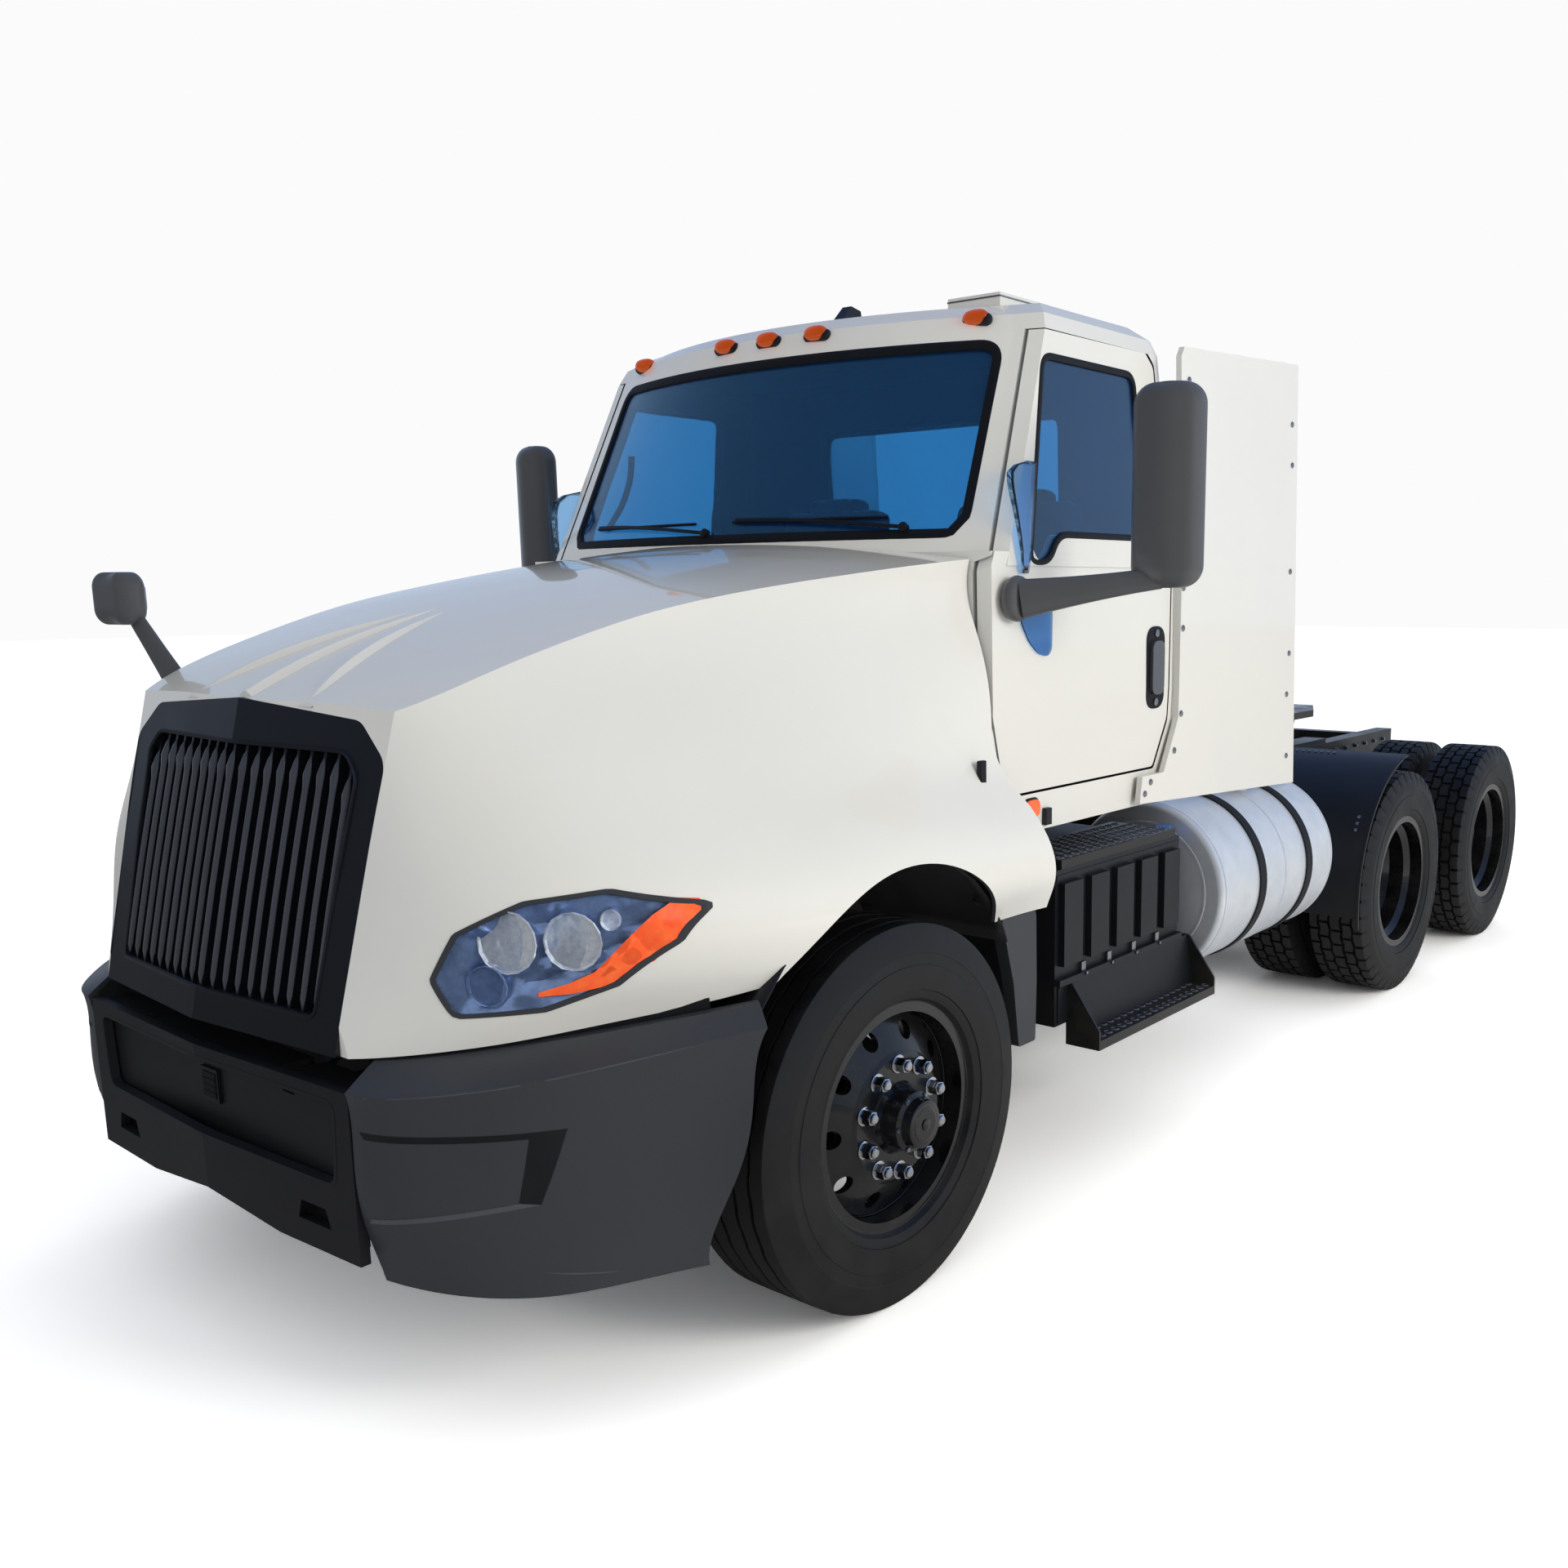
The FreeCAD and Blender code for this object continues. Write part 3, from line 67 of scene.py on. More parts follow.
# Directions
LEFT = Vector((1, 0, 0))
BACK = Vector((0, 1, 0))
FORWARD = Vector((0, -1, 0))
UP = Vector((0, 0, 1))

ROAD_DUST = "#6E675B"


def at(x: float, y: float, z: float) -> Vector:
    """Point in the row frame.

    Args:
        x: Millimetres to the vehicle's left.
        y: Millimetres behind the bumper's nose.
        z: Millimetres above the ground.

    Returns:
        The point in metres.
    """
    return Vector((x, y - NOSE_TO_MIDDLE, z)) * MM


def linear(code: str) -> tuple[float, float, float, float]:
    """Linear colour of an sRGB hex code.

    Args:
        code: Colour such as "#A0A0A0".

    Returns:
        Red, green, blue and alpha in linear light.
    """
    channels = [int(code[i:i + 2], 16) / 255 for i in (1, 3, 5)]
    red, green, blue = (c / 12.92 if c <= 0.04045 else ((c + 0.055) / 1.055) ** 2.4 for c in channels)
    return red, green, blue, 1.0


# Finishes

class Graph:
    """Node tree of one material, or of the world."""

    def __init__(self, name: str, world: World | None = None) -> None:
        """Start with an empty tree.

        Args:
            name: Name of the new material.
            world: World whose tree is taken in place of a new material's.
        """
        self.owner = world or bpy.data.materials.new(name)
        self.owner.use_nodes = True
        self.tree = self.owner.node_tree
        self.tree.nodes.clear()

    def add(self, kind: str, values: dict | None = None, **settings: object) -> Node:
        """Add a node.

        Args:
            kind: Blender's type name of the node.
            values: Input name or index to a constant, or to an output socket that is linked.
            **settings: Properties of the node.

        Returns:
            The node.
        """
        node = self.tree.nodes.new(kind)
        for name, value in settings.items():
            setattr(node, name, value)
        for key, value in (values or {}).items():
            if isinstance(value, NodeSocket):
                self.tree.links.new(value, node.inputs[key])
            else:
                node.inputs[key].default_value = value
        return node

    def close(self, shader: NodeSocket) -> Material:
        """Join the shader to the output and give the material back."""
        self.add("ShaderNodeOutputMaterial", {"Surface": shader})
        return self.owner


@dataclass(frozen=True)
class Finish:
    """Opaque finish with patches, grain and dust that follow real sizes.

    Attributes:
        name: What the surface really is.
        colour: Main colour.
        roughness: Middle of the roughness.
        metallic: 1 for bare metal.
        coat: Weight of a clear layer on top.
        second: Colour of the patches.
        patch_mm: Size of the patches.
        patch_share: How far the patches reach their colour.
        grain_mm: Size of the surface grain.
        depth_mm: Height of the grain.
        stretch: Stretch of the grain along X, Y and Z.
        spread: How far the roughness varies.
        dust: Share of dust low on the vehicle.
        sheen: Weight of a soft cloth edge light.
    """

    name: str
    colour: str
    roughness: float
    metallic: float = 0.0
    coat: float = 0.0
    second: str = ""
    patch_mm: float = 420.0
    patch_share: float = 0.35
    grain_mm: float = 2.5
    depth_mm: float = 0.05
    stretch: tuple[float, float, float] = (1.0, 1.0, 1.0)
    spread: float = 0.06
    dust: float = 0.0
    sheen: float = 0.0

    def shader(self, graph: Graph) -> NodeSocket:
        """Build the shader.

        Args:
            graph: Tree that takes the nodes.

        Returns:
            Output socket of the shader.
        """
        place = graph.add("ShaderNodeTexCoord")
        patches = graph.add("ShaderNodeTexNoise", {
            "Vector": place.outputs["Object"], "Scale": 1000 / self.patch_mm, "Detail": 5.0,
            "Roughness": 0.6})
        share = graph.add("ShaderNodeMapRange", {
            "Value": patches.outputs["Fac"], "From Min": 0.38, "From Max": 0.68, "To Min": 0.0,
            "To Max": self.patch_share})
        tint = graph.add("ShaderNodeMix", {
            0: share.outputs[0], 6: linear(self.colour), 7: linear(self.second or self.colour)},
            data_type="RGBA")
        colour = tint.outputs[2]
        stretched = graph.add("ShaderNodeMapping", {
            "Vector": place.outputs["Object"], "Scale": self.stretch})
        grain = graph.add("ShaderNodeTexNoise", {
            "Vector": stretched.outputs[0], "Scale": 1000 / self.grain_mm, "Detail": 3.0, "Roughness": 0.55})
        rough = graph.add("ShaderNodeMapRange", {
            "Value": patches.outputs["Fac"], "From Min": 0.3, "From Max": 0.7,
            "To Min": max(self.roughness - self.spread, 0.02),
            "To Max": min(self.roughness + self.spread, 1.0)})
        roughness = rough.outputs[0]
        if self.dust:
            mask = self.dust_mask(graph, place, patches)
            dirty = graph.add("ShaderNodeMix", {0: mask, 6: colour, 7: linear(ROAD_DUST)}, data_type="RGBA")
            colour = dirty.outputs[2]
            matt = graph.add("ShaderNodeMix", {0: mask, 2: roughness, 3: 0.9}, data_type="FLOAT")
            roughness = matt.outputs[0]
        bump = graph.add("ShaderNodeBump", {
            "Strength": 1.0, "Distance": self.depth_mm * MM, "Height": grain.outputs["Fac"]})
        body = graph.add("ShaderNodeBsdfPrincipled", {
            "Base Color": colour, "Roughness": roughness, "Metallic": self.metallic,
            "Normal": bump.outputs[0], "Coat Weight": self.coat, "Coat Roughness": 0.035,
            "Sheen Weight": self.sheen, "Sheen Roughness": 0.5})
        return body.outputs[0]

    def dust_mask(self, graph: Graph, place: Node,
                  patches: Node) -> NodeSocket:
        """Mask of the road dust.

        Args:
            graph: Tree that takes the nodes.
            place: Coordinates of the piece.
            patches: Broad noise that breaks the dust up.

        Returns:
            Socket from 0, clean, to the finish's share of dust.
        """
        height = graph.add("ShaderNodeSeparateXYZ", {0: place.outputs["Object"]})
        low = graph.add("ShaderNodeMapRange", {
            "Value": height.outputs[2], "From Min": 0.1, "From Max": 1.2, "To Min": 1.0, "To Max": 0.35})
        broken = graph.add("ShaderNodeMapRange", {
            "Value": patches.outputs["Fac"], "From Min": 0.35, "From Max": 0.62, "To Min": 0.15,
            "To Max": 1.0})
        both = graph.add("ShaderNodeMath", {0: low.outputs[0], 1: broken.outputs[0]}, operation="MULTIPLY")
        scaled = graph.add("ShaderNodeMath", {0: both.outputs[0], 1: self.dust}, operation="MULTIPLY")
        return scaled.outputs[0]

    def build(self) -> Material:
        """Make the material."""
        graph = Graph(self.name)
        return graph.close(self.shader(graph))


@dataclass(frozen=True)
class Clear(Finish):
    """Glass or clear plastic that light passes, with pale shadows.

    Attributes:
        ior: Refraction of the material.
        ribs_mm: Pitch of moulded ribs, or 0 for a plain pane.
        painted_glow: Light that the lens gives off, a painted glow for what a lit reflector behind it gives
            back.
        painted_reflection: Share of a diffuse layer mixed into the glass, a painted reflection of the sky.
        painted_reflection_colour: Colour of that layer.
    """

    ior: float = 1.5
    ribs_mm: float = 0.0
    painted_glow: float = 0.0
    painted_reflection: float = 0.0
    painted_reflection_colour: str = "#3B74B7"

    def shader(self, graph: Graph) -> NodeSocket:
        """Build the shader.

        Args:
            graph: Tree that takes the nodes.

        Returns:
            Output socket of the shader.
        """
        place = graph.add("ShaderNodeTexCoord")
        smear = graph.add("ShaderNodeTexNoise", {
            "Vector": place.outputs["Object"], "Scale": 1000 / self.patch_mm, "Detail": 4.0})
        rough = graph.add("ShaderNodeMapRange", {
            "Value": smear.outputs["Fac"], "To Min": self.roughness, "To Max": self.roughness + self.spread})
        # The emission in the lens's own colour is a painted glow
        values: dict = {
            "Base Color": linear(self.colour), "Roughness": rough.outputs[0], "IOR": self.ior,
            "Transmission Weight": 1.0, "Emission Color": linear(self.colour),
            "Emission Strength": self.painted_glow}
        if self.ribs_mm:
            ribs = graph.add("ShaderNodeTexWave", {
                "Vector": place.outputs["Object"], "Scale": 314 / self.ribs_mm}, bands_direction="X")
            bump = graph.add("ShaderNodeBump", {
                "Strength": 0.6, "Distance": self.ribs_mm * 0.12 * MM, "Height": ribs.outputs["Fac"]})
            values["Normal"] = bump.outputs[0]
        body = graph.add("ShaderNodeBsdfPrincipled", values)
        # Diffuse blue layer mixed into the glass: a painted reflection of the sky
        painted_sky_layer = graph.add("ShaderNodeBsdfDiffuse", {"Color": linear(self.painted_reflection_colour)})
        with_painted_sky = graph.add("ShaderNodeMixShader", {0: self.painted_reflection, 1: body.outputs[0], 2: painted_sky_layer.outputs[0]})
        path = graph.add("ShaderNodeLightPath")
        through = graph.add("ShaderNodeBsdfTransparent", {"Color": linear(self.colour)})
        mixed = graph.add("ShaderNodeMixShader", {
            0: path.outputs["Is Shadow Ray"], 1: with_painted_sky.outputs[0], 2: through.outputs[0]})
        return mixed.outputs[0]


@dataclass(frozen=True)
class Lined:
    """Painted outside and a dark lining on the faces that look toward a middle point.

    Attributes:
        name: What the surface really is.
        outside: Finish of the faces that look outward.
        inside: Finish of the faces that look toward the middle.
        middle_mm: The middle point, left, behind the nose and up.
    """

    name: str
    outside: Finish
    inside: Finish
    middle_mm: tuple[float, float, float]

    def build(self) -> Material:
        """Make the material.

        Returns:
            The material.
        """
        graph = Graph(self.name)
        place = graph.add("ShaderNodeTexCoord")
        away = graph.add("ShaderNodeVectorMath", {
            0: place.outputs["Object"], 1: at(*self.middle_mm)}, operation="SUBTRACT")
        outward = graph.add("ShaderNodeVectorMath", {
            0: away.outputs[0], 1: place.outputs["Normal"]}, operation="DOT_PRODUCT")
        inner = graph.add("ShaderNodeMath", {0: outward.outputs["Value"], 1: 0.0}, operation="LESS_THAN")
        mixed = graph.add("ShaderNodeMixShader", {
            0: inner.outputs[0], 1: self.outside.shader(graph), 2: self.inside.shader(graph)})
        return graph.close(mixed.outputs[0])


@dataclass(frozen=True)
class Parted:
    """One finish far to the left and another nearer the middle, for a node of two unlike pieces.

    Attributes:
        name: What the surfaces really are.
        far: Finish beyond the limit.
        near: Finish within the limit.
        limit_mm: Distance to the left where they part.
    """

    name: str
    far: Finish
    near: Finish
    limit_mm: float

    def build(self) -> Material:
        """Make the material.

        Returns:
            The material.
        """
        graph = Graph(self.name)
        place = graph.add("ShaderNodeTexCoord")
        axes = graph.add("ShaderNodeSeparateXYZ", {0: place.outputs["Object"]})
        within = graph.add("ShaderNodeMath", {
            0: axes.outputs[0], 1: self.limit_mm * MM}, operation="LESS_THAN")
        mixed = graph.add("ShaderNodeMixShader", {
            0: within.outputs[0], 1: self.far.shader(graph), 2: self.near.shader(graph)})
        return graph.close(mixed.outputs[0])


# Two-stage gloss paint: a clear coat over a warm white, so reflections are sharp on a soft ground
WHITE_PAINT = Finish("white_paint", "#D6D5CF", 0.34, coat=1.0, second="#CFCFCC", patch_mm=900,
    patch_share=0.5, grain_mm=9, depth_mm=0.012, spread=0.05)
# Moulded trim inside the cab: nearly black and matt, so the inside reads as a dark room
CAB_TRIM = Finish("moulded_cab_trim", "#070A12", 0.62, second="#0B0F1A", grain_mm=1.4, depth_mm=0.03)
# Pressed glass-fibre underside: dull grey with a coarse skin
HOOD_BACK = Finish("glass_fibre_underside", "#34373B", 0.75, second="#282A2E", grain_mm=6,
    depth_mm=0.3)


class Palette(Enum):
    """Every finish of the vehicle."""

    # Cab paint outside, moulded trim on the faces that look into the cab
    CAB = Lined("two_stage_white_paint_with_moulded_lining", WHITE_PAINT, CAB_TRIM, (0, 2420, 1880))
    # Hood paint outside, raw glass fibre on the faces that look at the engine
    HOOD = Lined("two_stage_white_paint_over_glass_fibre", WHITE_PAINT, HOOD_BACK, (0, 1150, 1100))
    PAINT = replace(WHITE_PAINT, name="two_stage_white_paint")
    # Painted roof box beside a black moulded horn cover, told apart by their distance from the middle
    ROOF = Parted("white_roof_box_and_black_horn_cover", WHITE_PAINT,
                  Finish("horn_cover", "#0E1015", 0.42, second="#151820", grain_mm=1.2), 200)
    # Sprayed chassis enamel: black with a satin shine that dust dulls low down
    CHASSIS = Finish("sprayed_black_chassis_enamel", "#0A0B0E", 0.40, coat=0.15, second="#101115",
        patch_mm=160, grain_mm=5, depth_mm=0.06, dust=0.16)
    # Powder-coated disc wheels: deep black, glossy enough for a ring of light on the rim
    WHEEL = Finish("powder_coated_black_steel", "#050609", 0.24, coat=0.5, second="#090A0E", patch_mm=90,
        grain_mm=4, depth_mm=0.03, dust=0.04)
    # Sand-cast iron, dip painted: coarse skin and brown tinges
    CAST_IRON = Finish("sand_cast_painted_iron", "#222326", 0.66, second="#2E2A27", patch_mm=70,
        grain_mm=3.5, depth_mm=0.35, dust=0.40)
    # Engine enamel on castings: mid grey, oily darker patches
    ENGINE = Finish("grey_engine_enamel_on_castings", "#4A4D52", 0.5, second="#2A2B2D", patch_mm=120,
        grain_mm=4, depth_mm=0.3, dust=0.25)
    # Brazed aluminium fins: fine lines across the core
    CORE = Finish("brazed_aluminium_fins", "#6C7075", 0.5, metallic=0.8, second="#3B3D40", patch_mm=80,
        grain_mm=2.2, depth_mm=0.5, stretch=(1, 1, 12), dust=0.2)
    # Mill-rolled aluminium: bright, with faint rolling lines that smear the sky
    TANK = Finish("mill_rolled_aluminium_sheet", "#E4E8ED", 0.44, metallic=0.6, second="#CDD5DE",
        patch_mm=130, patch_share=0.6, grain_mm=3, depth_mm=0.012, stretch=(9, 1, 9), spread=0.08)
    # Extruded rubber: dead matt black strip
    GASKET = Finish("extruded_sealing_rubber", "#0D0E11", 0.62, second="#141519", grain_mm=1.5,
        depth_mm=0.05)
    # Tyre rubber: dark with a dull sheen, greyer where it has touched the road
    TYRE = Finish("road_tyre_rubber", "#08090C", 0.54, second="#0E0F12", patch_mm=120, grain_mm=1.8,
        depth_mm=0.10, spread=0.08, dust=0.07)
    # Moulded grey bumper plastic: even fine grain that scatters the light
    BUMPER = Finish("grained_grey_moulding", "#34363A", 0.42, second="#2E3034", patch_mm=700, grain_mm=1.2,
        depth_mm=0.09)
    # The same moulding in black for the middle of the bumper and small covers
    BLACK_PLASTIC = Finish("grained_black_moulding", "#0E1015", 0.46, second="#13151B", patch_mm=400,
        grain_mm=1.2, depth_mm=0.08, dust=0.04)
    # Moulded and lacquered grille: dark, with clear highlights on the blades that are painted on their
    # separate noses
    GRILLE = Finish("lacquered_black_moulding", "#0A0D14", 0.38, coat=0.1, second="#0F121A", grain_mm=3,
        depth_mm=0.02)
    # Pale satin grey: painted highlight lines on the grille's blade noses and on the bumper's recess edge
    # and creases; also the door pull's lever and the steps' raised holes
    BLADE = Finish("satin_grey_painted_highlight_and_trim", "#5C5F66", 0.28, metallic=0.5, coat=0.6, second="#4A4E56",
        grain_mm=3, depth_mm=0.02)
    # Vacuum-coated reflector: mirror bright, its blue patches a painted reflection of the sky
    REFLECTOR = Finish("vacuum_coated_reflector_with_painted_sky", "#F2F6FC", 0.07, metallic=0.6, second="#6C8CC8",
        patch_mm=14, grain_mm=8, depth_mm=0.25, spread=0.04)
    # Smoke-grey moulding round the reflectors, half metallic; its blue with navy patches is a painted
    # reflection of sky and dark surroundings
    LAMP_BACK = Finish("smoke_grey_lamp_moulding_with_painted_reflection", "#7F97C4", 0.2, metallic=0.5, second="#161E32",
        patch_mm=24, grain_mm=12, depth_mm=0.1, spread=0.08)
    # Nickel-chrome plating on caps: bright with light swirl
    CHROME = Finish("nickel_chrome_plating", "#D5D7DA", 0.1, metallic=1.0, second="#B9BCC0", patch_mm=25,
        grain_mm=1, depth_mm=0.005, spread=0.06)
    # Zinc-plated fasteners: greyer and duller than chrome
    ZINC = Finish("zinc_plated_steel", "#A7A9AC", 0.34, metallic=1.0, second="#7F8184", patch_mm=14,
        grain_mm=1, depth_mm=0.02)
    # Greased coupling steel: dark wet film in broad smears over bare metal
    GREASED = Finish("greased_steel_plate", "#2B2926", 0.3, metallic=0.55, second="#4A4844", patch_mm=110,
        patch_share=0.9, grain_mm=9, depth_mm=0.4, stretch=(1, 0.3, 1), spread=0.2)
    # Woven seat cloth: soft edge light and a visible weave
    CLOTH = Finish("woven_seat_cloth", "#24262C", 0.9, second="#2D3038", patch_mm=60, grain_mm=2.2,
        depth_mm=0.5, sheen=0.4)
    # Laminated tinted glass: a blue cast that deepens through two panes, and a diffuse blue layer that is a
    # painted reflection of the sky
    GLASS = Clear("tinted_laminated_glass", "#6DB3DC", 0.008, spread=0.012, patch_mm=300, painted_reflection=0.07)
    # Moulded clear lens with a hard coat
    LENS = Clear("hard_coated_clear_lens", "#EEF3F8", 0.01, spread=0.01, patch_mm=60, ior=1.3)
    # Amber lens: saturated, ribbed behind, with a painted glow
    AMBER = Clear("moulded_amber_lens", "#FF6A1C", 0.06, spread=0.04, patch_mm=40, ribs_mm=7.0, painted_glow=0.35)
    # Red lens of the rear lamps, with a painted glow
    RED = Clear("moulded_red_lens", "#D3121B", 0.07, spread=0.04, patch_mm=40, ribs_mm=8.0, painted_glow=0.2)
    # Smoked sheet of the window's wind deflector: a blue tint over the white door; the same sheet below the
    # mirror's pivot is a painted shadow
    SMOKED = Clear("smoked_acrylic_and_painted_shadow", "#84B2DC", 0.03, spread=0.02, patch_mm=120, ior=1.45)
    # Mirror housings: black plastic lightened to mid grey as a painted highlight, with a finer, glossier
    # grain that shows the light along their curve
    HOUSING = Finish("satin_black_housing_painted_grey_highlight", "#4A4B4D", 0.4, coat=0.25, second="#414245", grain_mm=1.0,
        depth_mm=0.04)
    # Painted amber back of the lamp: keeps the strip bright in shade
    AMBER_BACK = Finish("amber_reflector_strip", "#FF5A1A", 0.35, coat=0.6, second="#FF8A3D", patch_mm=25,
        grain_mm=6, depth_mm=0.4)
    # Blue cap of the additive tank
    BLUE_CAP = Finish("moulded_blue_cap", "#1E5FB4", 0.4, second="#2B6DC4", grain_mm=2, depth_mm=0.05)
    # Silvered glass: a hard, slightly blue mirror
    MIRROR = Finish("silvered_mirror_glass", "#C9D2DA", 0.02, metallic=1.0, second="#C3CCD6", grain_mm=50,
        depth_mm=0.002, spread=0.01)

    @property
    def material(self) -> Material:
        """The material of this finish, made on first use."""
        return bpy.data.materials.get(self.value.name) or self.value.build()


# Mesh building

def lerp(a: float, b: float, t: float) -> float:
    """Value between a and b."""
    return a + (b - a) * t


def about(middle: float, half: float) -> tuple[float, float]:
    """Range with this half width about a middle."""
    return middle - half, middle + half


def between(start: tuple, end: tuple, pieces: int) -> list[tuple]:
    """Points of a straight line cut into equal pieces, both ends among them."""
    return [tuple(lerp(a, b, t / pieces) for a, b in zip(start, end)) for t in range(pieces + 1)]


def facing(way: Vector, path: list) -> list[Vector]:
    """The same outward direction for every point of a path."""
    return [way] * len(path)


def oval(half_u: float, half_v: float, count: int, power: float = 1.0) -> Pairs:
    """Points of a round section.

    Args:
        half_u: Half width along the first axis.
        half_v: Half width along the second axis.
        count: Number of points.
        power: Less than 1 fills the section out along the first axis.

    Returns:
        Pairs along both axes.
    """
    result = []
    for index in range(count):
        angle = 2 * pi * index / count
        across = cos(angle)
        result.append((copysign(abs(across) ** power, across) * half_u, sin(angle) * half_v))
    return result


def rounded(points: list, radius: float, steps: int = 5) -> Pairs:
    """Closed outline with rounded corners.

    Args:
        points: Corners as pairs.
        radius: Rounding of each corner.
        steps: Points on each rounding.

    Returns:
        The outline's points as pairs.
    """
    result = []
    count = len(points)
    for index, corner in enumerate(points):
        here = Vector((*corner, 0))
        before = Vector((*points[index - 1], 0)) - here
        after = Vector((*points[(index + 1) % count], 0)) - here
        reach = min(radius, before.length * 0.45, after.length * 0.45)
        start, end = here + before.normalized() * reach, here + after.normalized() * reach
        for step in range(steps + 1):
            t = step / steps
            point = start * (1 - t) ** 2 + here * 2 * t * (1 - t) + end * t ** 2
            result.append((point.x, point.y))
    return result


def divided(points: list, step: float) -> Pairs:
    """Closed outline with no gap longer than a step.

    Args:
        points: Points of the outline as pairs.
        step: The longest gap.

    Returns:
        The outline's points as pairs.
    """
    result = []
    for index, point in enumerate(points):
        after = points[(index + 1) % len(points)]
        length = hypot(after[0] - point[0], after[1] - point[1])
        result += between(point, after, max(1, ceil(length / step)))[:-1]
    return result


def grid(rows: int, width: int, joined: bool, closed: bool) -> list[tuple[int, ...]]:
    """Faces between the neighbours of a grid of points.

    Args:
        rows: Number of rows.
        width: Points in a row.
        joined: Whether the last row joins the first.
        closed: Whether each row is closed on itself.

    Returns:
        Four indices for each face.
    """
    faces = []
    for row in range(rows if joined else rows - 1):
        here, below = row * width, (row + 1) % rows * width
        for index in range(width if closed else width - 1):
            after = (index + 1) % width
            faces.append((here + index, here + after, below + after, below + index))
    return faces


def lids(rows: int, width: int) -> list[tuple[int, ...]]:
    """Faces that close the first and the last row of a grid."""
    return [tuple(reversed(range(width))), tuple(range((rows - 1) * width, rows * width))]


def thicken(obj: Object, thickness_mm: float) -> None:
    """Give a sheet its thickness."""
    obj.modifiers.new("sheet", "SOLIDIFY").thickness = thickness_mm * MM


